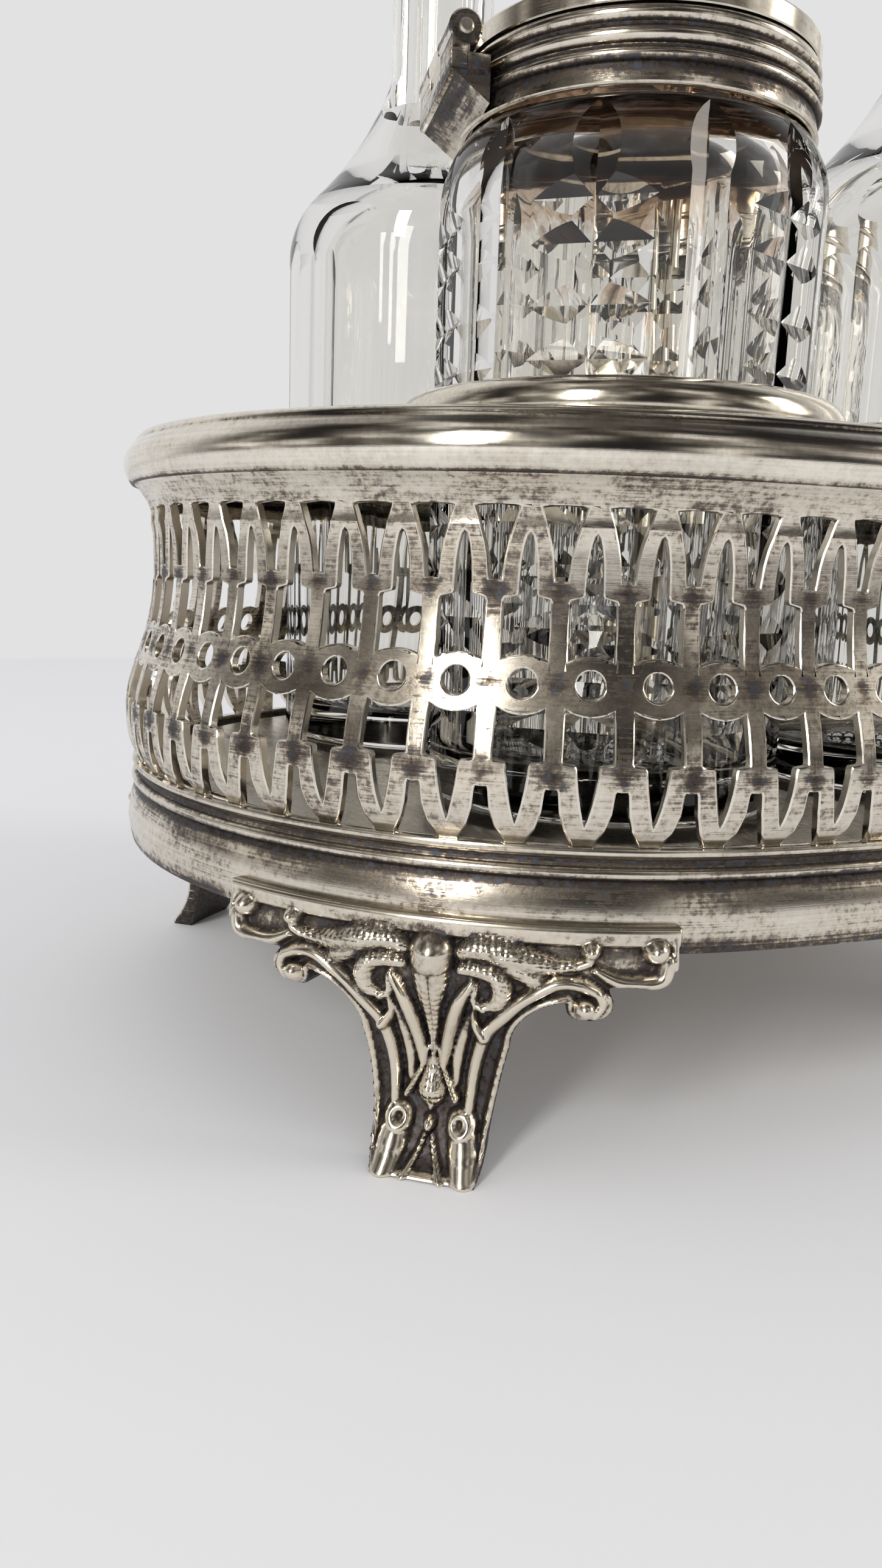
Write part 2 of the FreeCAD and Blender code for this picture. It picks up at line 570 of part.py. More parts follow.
def mustard_collar():
    """Silver mount cemented on the neck: flared band, three beads and the hinge bracket."""
    x, y = STATIONS["front_left"]
    bore = POT_NECK + CEMENT
    r = COLLAR_RADIUS
    low = COLLAR_BOTTOM
    ring = turned([
        (r - 0.5, low), (r + 0.3, low), (r - 0.2, low + 2.3),
        (r + 0.5, low + 3.0, r - 0.4, low + 3.8),
        (r - 0.4, low + 4.5), (r + 0.4, low + 5.3, r - 0.4, low + 6.1),
        (r - 0.5, low + 6.7), (r + 0.1, low + 7.6, r - 0.6, COLLAR_TOP),
        (bore, COLLAR_TOP), (bore, low + 2.1), (r - 0.5, low + 1.6),
    ], x, y)
    edge = -HINGE_WIDTH / 2
    shelf = COLLAR_TOP - 4.6
    plate = Part.makeBox(HINGE_OUT - r + 0.9, HINGE_WIDTH, 2.4, Vector(r - 0.9, edge, shelf))
    bracket = Part.makeBox(2.4, HINGE_WIDTH, 4.8, Vector(HINGE_OUT - 0.6, edge, COLLAR_TOP - 5.0))
    web = Part.Face(Part.makePolygon([
        Vector(r - 0.9, edge, shelf), Vector(HINGE_OUT + 1.8, edge, shelf),
        Vector(r - 0.9, edge, low + 0.4), Vector(r - 0.9, edge, shelf),
    ])).extrude(Vector(0, HINGE_WIDTH, 0))
    hinge = plate.multiFuse([bracket, web] + knuckles(False)).cut(hinge_bore())
    hinge = hinge.cut([lid_sweep_clearance()])
    hinge.rotate(Vector(0, 0, 0), UP, HINGE_ANGLE)
    hinge.translate(Vector(x, y, 0))
    return ring.fuse(hinge).cut(cylinder(bore, low, COLLAR_TOP + 5, x, y)).removeSplitter()


def knuckles(of_lid):
    """Hinge knuckles in the pot's own frame: two outer ones on the collar, one middle on the lid."""
    third = HINGE_WIDTH / 3
    spans = [(-third / 2 + KNUCKLE_GAP, third / 2 - KNUCKLE_GAP)]
    if not of_lid:
        spans = [(-HINGE_WIDTH / 2, -third / 2), (third / 2, HINGE_WIDTH / 2)]
    return [Part.makeCylinder(KNUCKLE_RADIUS, b - a, Vector(HINGE_OUT, a, COLLAR_TOP), Vector(0, 1, 0))
            for a, b in spans]


def hinge_bore():
    return Part.makeCylinder(PIN_RADIUS + PIN_CLEARANCE, HINGE_WIDTH + 4,
                             Vector(HINGE_OUT, -HINGE_WIDTH / 2 - 2, COLLAR_TOP), Vector(0, 1, 0))


def lid_sweep_clearance():
    """Room in the bracket for the lid's knuckle to turn."""
    third = HINGE_WIDTH / 3
    start = Vector(HINGE_OUT, -third / 2, COLLAR_TOP)
    return Part.makeCylinder(KNUCKLE_RADIUS + 0.3, third, start, Vector(0, 1, 0))


def mustard_lid():
    """Flat lid with a thick rim, an inner bezel, a spoon notch, a leaf and the middle knuckle."""
    x, y = STATIONS["front_left"]
    bezel = POT_NECK - 1.0
    glass_top = POT_MOUTH + 0.3
    top = LID_BOTTOM + LID_THICK
    disc = turned([
        (0, LID_BOTTOM), (bezel - 1.0, LID_BOTTOM), (bezel - 1.0, glass_top), (bezel, glass_top),
        (bezel, LID_BOTTOM), (LID_RADIUS, LID_BOTTOM), (LID_RADIUS, top - 0.4),
        (LID_RADIUS - 0.4, top), (LID_RADIUS - 2.2, top),
        (10.0, top + 1.8, 3.2, top + 3.2), (1.8, top + 5.2),
        (3.3, top + 7.6, 1.2, top + 9.8), (0, top + 9.8),
    ])
    notch = cylinder(3.4, LID_BOTTOM - 3, top + 3, -LID_RADIUS - 0.6, 0)
    disc = disc.cut(notch)
    third = HINGE_WIDTH / 3
    leaf = Part.makeBox(HINGE_OUT - LID_RADIUS + 1.5, third - 2 * KNUCKLE_GAP, LID_THICK - 0.5,
                        Vector(LID_RADIUS - 1.5, -third / 2 + KNUCKLE_GAP, LID_BOTTOM))
    lid = disc.multiFuse([leaf] + knuckles(True)).cut(hinge_bore()).removeSplitter()
    lid.rotate(Vector(0, 0, 0), UP, HINGE_ANGLE)
    lid.translate(Vector(x, y, 0))
    return lid


def mustard_hinge_pin():
    """Steel pin riveted through the three knuckles."""
    x, y = STATIONS["front_left"]
    start = Vector(HINGE_OUT, -HINGE_WIDTH / 2 - 0.5, COLLAR_TOP)
    pin = Part.makeCylinder(PIN_RADIUS, HINGE_WIDTH + 1.0, start, Vector(0, 1, 0))
    pin.rotate(Vector(0, 0, 0), UP, HINGE_ANGLE)
    pin.translate(Vector(x, y, 0))
    return pin


def bottle(x, y, first):
    """Panel-cut bottle: six flat panels, sloping shoulder, slim neck and a turned-out lip."""
    r = BOTTLE_RADIUS
    inner = r - GLASS_WALL
    body = turned([
        (0, GLASS_BOTTOM), (r - 2.2, GLASS_BOTTOM), (r, GLASS_BOTTOM + 2.0), (r, BOTTLE_CORNER),
        (r - 3.6, BOTTLE_CORNER + 4.2),
        (BOTTLE_NECK + 4.6, BOTTLE_CORNER + 15.8, BOTTLE_NECK, NECK_START),
        (BOTTLE_NECK, BOTTLE_LIP - 6.0), (LIP_RADIUS, BOTTLE_LIP - 1.5), (LIP_RADIUS, BOTTLE_LIP),
        (NECK_BORE, BOTTLE_LIP), (NECK_BORE, NECK_START),
        (NECK_BORE + 3.6, BOTTLE_CORNER + 13.0, inner - 3.0, BOTTLE_CORNER),
        (inner, BOTTLE_CORNER - 4.0), (inner, GLASS_BOTTOM + 8.0),
        (inner - 1.0, GLASS_BOTTOM + 6.0, inner - 3.0, GLASS_BOTTOM + 5.6), (0, GLASS_BOTTOM + 5.6),
    ], x, y)
    depth = 1.0
    low = GLASS_BOTTOM + 5.0
    corner = Vector(x + r - depth, y - PANEL_WIDTH / 2, low)
    panel = Part.makeBox(8, PANEL_WIDTH, BOTTLE_CORNER + 6 - low, corner)
    bottom = NECK_START - 6.0
    start = Vector(x + BOTTLE_NECK + NECK_FLUTE - 0.8, y, bottom)
    flute = Part.makeCylinder(NECK_FLUTE, 2 * NECK_LENGTH, start, Vector(0.02, 0, 1))
    flute = flute.common(cylinder(2 * BOTTLE_RADIUS, bottom, BOTTLE_LIP - 8.0, x, y))
    cuts = ring_of(panel, PANELS, x, y, first) + ring_of(flute, PANELS, x, y, first)
    return body.cut(cuts)


def stopper(x, y):
    """Ground plug, waist and a lapidary-cut ball: eight facets round, eight above, eight below."""
    plug = NECK_BORE - PLUG_CLEARANCE
    z = BOTTLE_LIP
    body = turned([
        (0, z - PLUG_LENGTH), (plug - 0.5, z - PLUG_LENGTH), (plug, z - PLUG_LENGTH + 1.5), (plug, z + 0.3),
        (plug + 3.6, z + 0.3), (plug + 3.6, z + 2.2), (4.6, z + 5.0),
        (STOPPER_RADIUS, z + 12.0), (STOPPER_RADIUS, z + 17.0), (4.0, z + STOPPER_HEIGHT),
        (0, z + STOPPER_HEIGHT),
    ], x, y)
    flat = Part.makeBox(6, 24, 12, Vector(x + STOPPER_RADIUS * math.cos(math.pi / 8), y - 12, z + 8.5))
    return body.cut(ring_of(flat, 8, x, y, 22.5))


def pepper_collar():
    """Plain silver mount with one bead that the cap slides over."""
    x, y = STATIONS["back_right"]
    bore = POT_NECK + CEMENT
    low = COLLAR_BOTTOM
    return turned([
        (COLLAR_RADIUS - 0.5, low), (COLLAR_RADIUS + 0.3, low), (COLLAR_RADIUS - 0.1, low + 2.0),
        (COLLAR_RADIUS + 0.5, low + 2.8, COLLAR_RADIUS - 0.1, low + 3.6),
        (bore + 0.9, low + 3.6), (bore + 0.9, POT_MOUTH), (bore, POT_MOUTH),
        (bore, low + 2.1), (COLLAR_RADIUS - 0.5, low + 1.6),
    ], x, y)


def pepper_cap():
    """Domed caster cap with a ring of small holes, a bead and a turned finial."""
    x, y = STATIONS["back_right"]
    low = COLLAR_BOTTOM + 3.7
    bore = POT_NECK + CEMENT + 1.2
    r = COLLAR_RADIUS
    cap = turned([
        (bore, low), (r, low), (r, low + 5.0),
        (r + 0.6, low + 5.8, r - 0.4, low + 6.6),
        (r - 3.2, low + 15.0, r - 9.4, low + 20.6), (4.0, low + 25.6),
        (2.0, low + 27.6), (3.6, low + 30.2, 1.2, low + 32.8), (0, low + 32.8),
        (0, low + 24.4), (4.0, low + 24.4),
        (r - 10.0, low + 19.4), (r - 4.6, low + 14.4, r - 1.9, low + 7.2), (bore, low + 6.0),
    ], x, y)
    holes = []
    for radius, count in ((6.6, 6), (11.0, 10)):
        for k in range(count):
            a = 2 * math.pi * k / count
            across, along = radius * math.cos(a), radius * math.sin(a)
            holes.append(cylinder(0.8, low + 10, low + 40, x + across, y + along))
    return cap.cut(holes)


# --- build every node --------------------------------------------------------------------------
def build():
    nodes = {
        "base_moulding": base_moulding(),
        "floor_plate": floor_plate(),
        "top_rim": top_rim(),
        "top_plate": top_plate(),
        "handle_stem": handle_stem(),
        "handle_collar": handle_collar(),
        "handle_nut": handle_nut(),
        "handle_loop": handle_loop(),
        "mustard_glass": pot_glass(*STATIONS["front_left"], POT_TURN),
        "mustard_collar": mustard_collar(),
        "mustard_lid": mustard_lid(),
        "mustard_hinge_pin": mustard_hinge_pin(),
        "pepper_glass": pot_glass(*STATIONS["back_right"], 0.0),
        "pepper_collar": pepper_collar(),
        "pepper_cap": pepper_cap(),
    }
    for arc in ARCS:
        nodes["gallery_" + arc] = gallery_strip(arc)
    for place, (x, y) in STATIONS.items():
        nodes["ring_" + place] = station_ring(x, y)
    base = nodes["base_moulding"]
    for end in ("left", "right"):
        for side, word in ((-1, "front"), (1, "back")):
            turn = side if end == "right" else -side
            nodes[f"foot_{word}_{end}"] = foot(end + "_end", turn).cut(base)
    for name, place in (("oil", "back_left"), ("vinegar", "front_right")):
        x, y = STATIONS[place]
        nodes[name + "_bottle"] = bottle(x, y, 15.0)
        nodes[name + "_stopper"] = stopper(x, y)
    return nodes


for node, shape in build().items():
    shape.exportStep(f"parts/{node}.step")
    print(f"{node:22s} solids {len(shape.Solids)} valid {shape.isValid()} volume {shape.Volume:9.1f}")
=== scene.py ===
import math

import bmesh
import bpy
import numpy as np
from mathutils import Matrix, Vector


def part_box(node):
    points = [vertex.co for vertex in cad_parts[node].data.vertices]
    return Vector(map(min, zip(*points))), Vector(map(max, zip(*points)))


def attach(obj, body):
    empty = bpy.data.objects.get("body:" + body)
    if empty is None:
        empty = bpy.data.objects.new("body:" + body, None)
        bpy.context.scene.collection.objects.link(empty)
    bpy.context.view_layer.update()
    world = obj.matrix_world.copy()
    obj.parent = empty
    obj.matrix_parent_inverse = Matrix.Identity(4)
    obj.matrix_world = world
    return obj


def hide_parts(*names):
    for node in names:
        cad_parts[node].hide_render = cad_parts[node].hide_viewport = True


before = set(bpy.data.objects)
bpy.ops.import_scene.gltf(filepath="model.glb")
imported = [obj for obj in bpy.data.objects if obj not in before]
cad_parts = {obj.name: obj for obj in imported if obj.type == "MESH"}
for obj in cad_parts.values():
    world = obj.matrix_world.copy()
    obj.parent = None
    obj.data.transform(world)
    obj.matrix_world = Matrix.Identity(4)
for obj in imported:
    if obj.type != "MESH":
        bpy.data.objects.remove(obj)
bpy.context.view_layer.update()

# --- Base moulding -----------------------------------------------------------------------------
# Nickel-silver strip rolled to a broad ovolo, a fine bead and a ledge, bent round the oval and
# soldered. The oval is four arcs: two ends and two flatter sides. Everything in millimetres here
# is turned to metres by MM.
MM = 0.001
HALF_LENGTH, HALF_WIDTH, END_RADIUS = 89.0, 70.0, 68.0
ARC_CENTRE = HALF_LENGTH - END_RADIUS
SIDE_RADIUS = (ARC_CENTRE**2 + HALF_WIDTH**2 - END_RADIUS**2) / (2 * (HALF_WIDTH - END_RADIUS))
SIDE_CENTRE = SIDE_RADIUS - HALF_WIDTH
END_TURN = math.atan2(SIDE_CENTRE, ARC_CENTRE)
SIDE_TURN = math.pi / 2 - END_TURN
# each arc: centre, radius, middle direction, half angle, pierced cells
ARCS = {
    "right_end": (ARC_CENTRE, 0.0, END_RADIUS, 0.0, END_TURN, 24),
    "back": (0.0, -SIDE_CENTRE, SIDE_RADIUS, math.pi / 2, SIDE_TURN, 9),
    "left_end": (-ARC_CENTRE, 0.0, END_RADIUS, math.pi, END_TURN, 24),
    "front": (0.0, SIDE_CENTRE, SIDE_RADIUS, 1.5 * math.pi, SIDE_TURN, 9),
}


def srgb(code):
    """Hex colour to linear RGBA."""
    parts = [int(code[i:i + 2], 16) / 255 for i in (1, 3, 5)]
    return [c / 12.92 if c <= 0.04045 else ((c + 0.055) / 1.055) ** 2.4 for c in parts] + [1.0]


def add_node(tree, kind, links=None, stops=(), **settings):
    """A node with its settings. links maps an input to a socket, to a node for its first output, or
    to a value; stops are the places and hex colours of a colour ramp."""
    node = tree.nodes.new(kind)
    for key, value in settings.items():
        setattr(node, key, value)
    for key, value in (links or {}).items():
        if isinstance(value, bpy.types.Node):
            value = value.outputs[0]
        if isinstance(value, bpy.types.NodeSocket):
            tree.links.new(value, node.inputs[key])
        else:
            node.inputs[key].default_value = value
    if stops:
        points = node.color_ramp.elements
        while len(points) < len(stops):
            points.new(0.5)
        for point, (place, code) in zip(points, stops):
            point.position = place
            point.color = srgb(code)
    return node


def new_material(name):
    """An empty material, with its node tree and its shader."""
    material = bpy.data.materials.new(name)
    material.use_nodes = True
    return material, material.node_tree, material.node_tree.nodes["Principled BSDF"]


def millimetres(tree):
    """The place on the piece, in millimetres."""
    place = add_node(tree, "ShaderNodeTexCoord").outputs["Object"]
    return add_node(tree, "ShaderNodeMapping", {"Vector": place, "Scale": (1000, 1000, 1000)})


def silver_plate(name, bright="#ECE5D9", dirt=0.5, streak=(0.05, 0.05, 4.0), rough=0.2, relief=0.26):
    """Silver electroplate on nickel silver, hand polished: warm and bright where the cloth reaches,
    brown and blue-black sulphide where it doesn't, with fine polishing scratches along the piece.
    dirt is how much tarnish there is in all, and relief how strongly the hollows hold it."""
    material, tree, shader = new_material(name)
    mm = millimetres(tree)
    # scratches: long along the moulding, 0.2 mm apart across it; clouds of thin tarnish about 12 mm
    # across; specks of heavy tarnish under 1 mm
    along = add_node(tree, "ShaderNodeMapping", {"Vector": mm, "Scale": streak})
    scratches, clouds, specks = [
        add_node(tree, "ShaderNodeTexNoise",
                 {"Vector": place, "Scale": scale, "Detail": detail, "Roughness": fineness})
        for place, scale, detail, fineness in (
            (along, 1.0, 6.0, 0.7), (mm, 0.085, 5.0, 0.62), (mm, 1.1, 4.0, 0.7))]
    mixed = add_node(tree, "ShaderNodeMath", {0: clouds, 1: specks}, operation="ADD")
    streaky = add_node(tree, "ShaderNodeMath", {0: mixed, 1: scratches}, operation="ADD")
    level = add_node(tree, "ShaderNodeMath", {0: streaky, 1: 3.0}, operation="DIVIDE")
    worn = add_node(tree, "ShaderNodeAttribute", attribute_name="recess").outputs["Fac"]
    lifted = add_node(tree, "ShaderNodeMath", {0: worn, 1: relief, 2: level}, operation="MULTIPLY_ADD")
    edge = 0.63 - 0.12 * dirt
    mask = add_node(tree, "ShaderNodeMapRange", {0: lifted, 1: edge, 2: edge + 0.10})
    haze = add_node(tree, "ShaderNodeMapRange", {0: lifted, 1: edge - 0.16, 2: edge + 0.05})
    clean = add_node(tree, "ShaderNodeValToRGB", {"Fac": haze},
                     [(0.0, bright), (0.6, "#D9D0C1"), (1.0, "#958878")])
    dark = add_node(tree, "ShaderNodeValToRGB", {"Fac": specks},
                    [(0.35, "#26272B"), (0.5, "#4A4039"), (0.66, "#4C525C")])
    colour = add_node(tree, "ShaderNodeMix", {"Factor": mask, "A": clean, "B": dark}, data_type="RGBA")
    shine = add_node(tree, "ShaderNodeMapRange", {0: mask, 3: rough, 4: 0.48})
    grain = add_node(tree, "ShaderNodeMath", {0: scratches, 1: 0.16, 2: shine}, operation="MULTIPLY_ADD")
    soft = add_node(tree, "ShaderNodeMath", {0: grain, 1: 0.08}, operation="SUBTRACT")
    metal = add_node(tree, "ShaderNodeMapRange", {0: mask, 3: 1.0, 4: 0.75})
    height = add_node(tree, "ShaderNodeMath", {0: scratches, 1: mask}, operation="SUBTRACT")
    bump = add_node(tree, "ShaderNodeBump", {"Height": height, "Strength": 0.25, "Distance": 0.00004})
    for socket, source in (("Base Color", colour.outputs["Result"]), ("Roughness", soft.outputs[0]),
                           ("Metallic", metal.outputs[0]), ("Normal", bump.outputs[0])):
        tree.links.new(source, shader.inputs[socket])
    return material


def traced(steps, arc_parts=8):
    """Points of a section: (x, z) is a straight run, (mx, mz, x, z) an arc through m."""
    points = [tuple(steps[0])]
    for step in steps[1:]:
        if len(step) == 2:
            points.append(tuple(step))
            continue
        (ax, ay), (bx, by), (cx, cy) = points[-1], step[:2], step[2:]
        d = 2 * (ax * (by - cy) + bx * (cy - ay) + cx * (ay - by))
        ux = ((ax**2 + ay**2) * (by - cy) + (bx**2 + by**2) * (cy - ay) + (cx**2 + cy**2) * (ay - by)) / d
        uy = ((ax**2 + ay**2) * (cx - bx) + (bx**2 + by**2) * (ax - cx) + (cx**2 + cy**2) * (bx - ax)) / d
        start, middle, end = (math.atan2(y - uy, x - ux) for x, y in ((ax, ay), (bx, by), (cx, cy)))
        turn = (end - start) % math.tau
        if (middle - start) % math.tau > turn:
            turn -= math.tau
        radius = math.hypot(ax - ux, ay - uy)
        for k in range(1, arc_parts + 1):
            a = start + turn * k / arc_parts
            points.append((ux + radius * math.cos(a), uy + radius * math.sin(a)))
    return points


def linked(name, data):
    """A new object in the scene."""
    piece = bpy.data.objects.new(name, data)
    bpy.context.scene.collection.objects.link(piece)
    return piece


def claimed(piece, body, nodes=()):
    """The piece on its body and the solids that it stands for."""
    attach(piece, body)
    if nodes:
        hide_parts(*nodes)
    return piece


def skin(name, verts, faces, marks, sharp, weld=1e-6):
    """Mesh in metres from millimetres: welded, or rid of slivers where weld is 0, then turned outward
    and smooth but for sharp edges. marks are numbers or vectors by point, for the materials."""
    mesh = bpy.data.meshes.new(name)
    mesh.from_pydata([(x * MM, y * MM, z * MM) for x, y, z in verts], [], faces)
    for mark, values in marks.items():
        kind, key = ("FLOAT_VECTOR", "vector") if np.ndim(values) == 2 else ("FLOAT", "value")
        mesh.attributes.new(mark, kind, "POINT").data.foreach_set(key, np.ravel(values).tolist())
    work = bmesh.new()
    work.from_mesh(mesh)
    if weld:
        bmesh.ops.remove_doubles(work, verts=work.verts, dist=weld)
    else:
        bmesh.ops.dissolve_degenerate(work, edges=work.edges, dist=1e-6)
    bmesh.ops.delete(work, geom=[v for v in work.verts if not v.link_faces], context="VERTS")
    bmesh.ops.recalc_face_normals(work, faces=work.faces)
    work.to_mesh(mesh)
    work.free()
    mesh.shade_smooth()
    mesh.set_sharp_from_angle(angle=math.radians(sharp))
    return mesh


def finish_mesh(name, verts, faces, body, material, nodes=(), slot="silver_plate", sharp=40, recess=None):
    """A finished piece of one material; without a body it is a blank or a tool."""
    marks = {} if recess is None else {"recess": recess}
    piece = linked(name, skin(name, verts, faces, marks, sharp))
    piece.data.materials.append(material)
    return claimed(piece, body, nodes) if body else piece


def tarnished_and_painted_bands(verts, dark):
    """Darker bands at some heights: tarnish held in grooves, and on the base moulding a painted dark
    reflection: (height, reach, strength) of each band.
    """
    return [max(strength * max(0.0, 1 - abs(z - level) / reach) for level, reach, strength in dark)
            for _, _, z in verts]


def swept(name, section, material, nodes, dark):
    """A closed section swept round the oval, with the heights of its darker bands."""
    verts = []
    for cx, cy, radius, middle, half, cells in ARCS.values():
        count = 4 * cells
        for k in range(count):
            a = middle - half + 2 * half * k / count
            c, s = math.cos(a), math.sin(a)
            verts += [(cx + (radius + x) * c, cy + (radius + x) * s, z) for x, z in section]
    m = len(section)
    n = len(verts) // m
    faces = [(i * m + j, ((i + 1) % n) * m + j, ((i + 1) % n) * m + (j + 1) % m, i * m + (j + 1) % m)
             for i in range(n) for j in range(m)]
    return finish_mesh(name, verts, faces, "stand", material, nodes, recess=tarnished_and_painted_bands(verts, dark))


base_silver = silver_plate("silver plate, rolled and streaky", dirt=0.75, streak=(0.04, 0.04, 3.5))
BASE_BOTTOM, BASE_TOP = (corner.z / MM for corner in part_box("base_moulding"))
base_section = traced([
    (2.2, BASE_BOTTOM), (2.55, BASE_BOTTOM + 4.5, 1.5, BASE_TOP - 4.3), (1.2, BASE_TOP - 3.9),
    (2.1, BASE_TOP - 3.1, 1.2, BASE_TOP - 2.3), (1.05, BASE_TOP - 1.6), (1.35, BASE_TOP - 1.1),
    (1.8, BASE_TOP - 0.9, 1.8, BASE_TOP - 0.05), (1.1, BASE_TOP - 0.05),
    (1.1, BASE_TOP - 1.8), (-3.0, BASE_TOP - 1.8), (-3.0, BASE_TOP - 3.0), (-8.0, BASE_TOP - 3.0),
    (-8.0, BASE_TOP - 4.6), (0.4, BASE_TOP - 4.6), (0.4, BASE_BOTTOM), (1.3, BASE_BOTTOM),
])
# darker bands: tarnish in the two grooves above the ovolo, a darker band along its bottom edge, and on its
# upper part a painted dark reflection of the room
swept("rolled_base_moulding", base_section, base_silver, ["base_moulding"], (
    (BASE_TOP - 4.1, 1.0, 1.0), (BASE_TOP - 1.8, 0.8, 1.0), (BASE_TOP - 5.6, 1.6, 0.28),
    (BASE_BOTTOM + 0.3, 1.6, 0.7)))

# --- Pierced band ------------------------------------------------------------------------------
# Thin sheet, fly-press pierced flat with one cell repeated, then bent to the oval and bellied out
# below: a row of round holes in scalloped bosses, stepped pointed windows above and below, and
# flaring slots between. Butt-soldered in four lengths. Its edges are burnished, its face brushed.
BAND_BOTTOM, RIM_BOTTOM = 40.2, 84.0
HOLE_LEVEL, HOLE_SHARE = 60.7, 0.215
SHEET, BURNISH, MARGIN = 1.2, 0.16, 0.3
# heights, and how far the sheet's outer face stands out there
BELLY_LEVELS, BELLY_OUT = np.array([
    (40.2, 1.0), (42.0, 1.0), (44.3, 2.15), (48.8, 2.85), (52.0, 2.7), (56.5, 1.55), (60.7, 0.05),
    (65.5, -1.15), (69.9, -1.7), (74.0, -1.75), (77.7, -1.55), (78.4, -1.42), (79.0, -1.5), (80.8, -1.2),
    (82.4, -0.5), (83.99, 0.9)]).T
BELLY_SLOPES = np.gradient(BELLY_OUT, BELLY_LEVELS)
# half outlines of the cell: across as a share of the pitch, and height
LANCET = ((0.16, 70.55), (0.14, 70.9), (0.132, 72.5), (0.118, 74.5), (0.085, 76.2), (0.045, 77.3))
SPEAR = ((0.18, 51.75), (0.157, 51.4), (0.145, 50.4), (0.12, 48.8), (0.078, 46.9), (0.03, 45.3))
FLARE = ((0.5, 72.3), (0.405, 72.35), (0.40, 72.6), (0.37, 74.9), (0.325, 76.6), (0.255, 78.4),
         (0.19, 80.0), (0.165, 80.5), (0.5, 80.75))
SKIRT = ((0.5, 48.9), (0.42, 48.85), (0.405, 48.6), (0.375, 46.2), (0.29, 43.9), (0.17, 42.25),
         (0.17, 42.0), (0.5, 42.0))
WINDOW_SHARE = 0.365
JOINT_LEVELS = (50.6, HOLE_LEVEL, 71.2, 79.5)


def belly(z):
    """How far the sheet's outer face stands out at a height, smoothly through the points above."""
    k = int(np.clip(np.searchsorted(BELLY_LEVELS, z) - 1, 0, len(BELLY_LEVELS) - 2))
    h = BELLY_LEVELS[k + 1] - BELLY_LEVELS[k]
    t = min(max((z - BELLY_LEVELS[k]) / h, 0.0), 1.0)
    return ((1 + 2 * t) * (1 - t)**2 * BELLY_OUT[k] + t * (1 - t)**2 * h * BELLY_SLOPES[k]
            + t * t * (3 - 2 * t) * BELLY_OUT[k + 1] + t * t * (t - 1) * h * BELLY_SLOPES[k + 1])


def mirrored(points):
    """Points reflected left to right, in the opposite order."""
    return [(-x, z) for x, z in reversed(points)]


def cell_windows(p):
    """Round hole, upper and lower window in the middle of a cell of pitch p, as closed outlines."""
    circle = np.linspace(0, math.tau, 21)[:-1]
    hole = [(HOLE_SHARE * p * math.cos(a), HOLE_LEVEL + HOLE_SHARE * p * math.sin(a)) for a in circle]
    # the bosses' scallops are shallow arcs: radius and crown as shares of the pitch, half angle
    over, under = [[(bow * p * math.sin(a), (crown - bow * (1 - math.cos(a))) * p)
                    for a in np.linspace(-end, end, 9)]
                   for bow, crown, end in ((0.80, 0.407, 0.46), (0.66, 0.455, 0.57))]
    wide = WINDOW_SHARE * p
    right = [(wide * 0.985, 66.5), (wide, 69.9), (wide - 0.15, 70.2)] + [(x * p, z) for x, z in LANCET]
    left = [(-wide * 0.985, 54.5), (-wide, 52.2), (-wide + 0.15, 51.95)] + [(-x * p, z) for x, z in SPEAR]
    upper = [(x, HOLE_LEVEL + y) for x, y in over] + right + [(0.0, 77.7)] + mirrored(right)
    lower = [(-x, HOLE_LEVEL - y) for x, y in under] + left + [(0.0, 44.7)] + mirrored(left)
    return [hole, upper, lower]


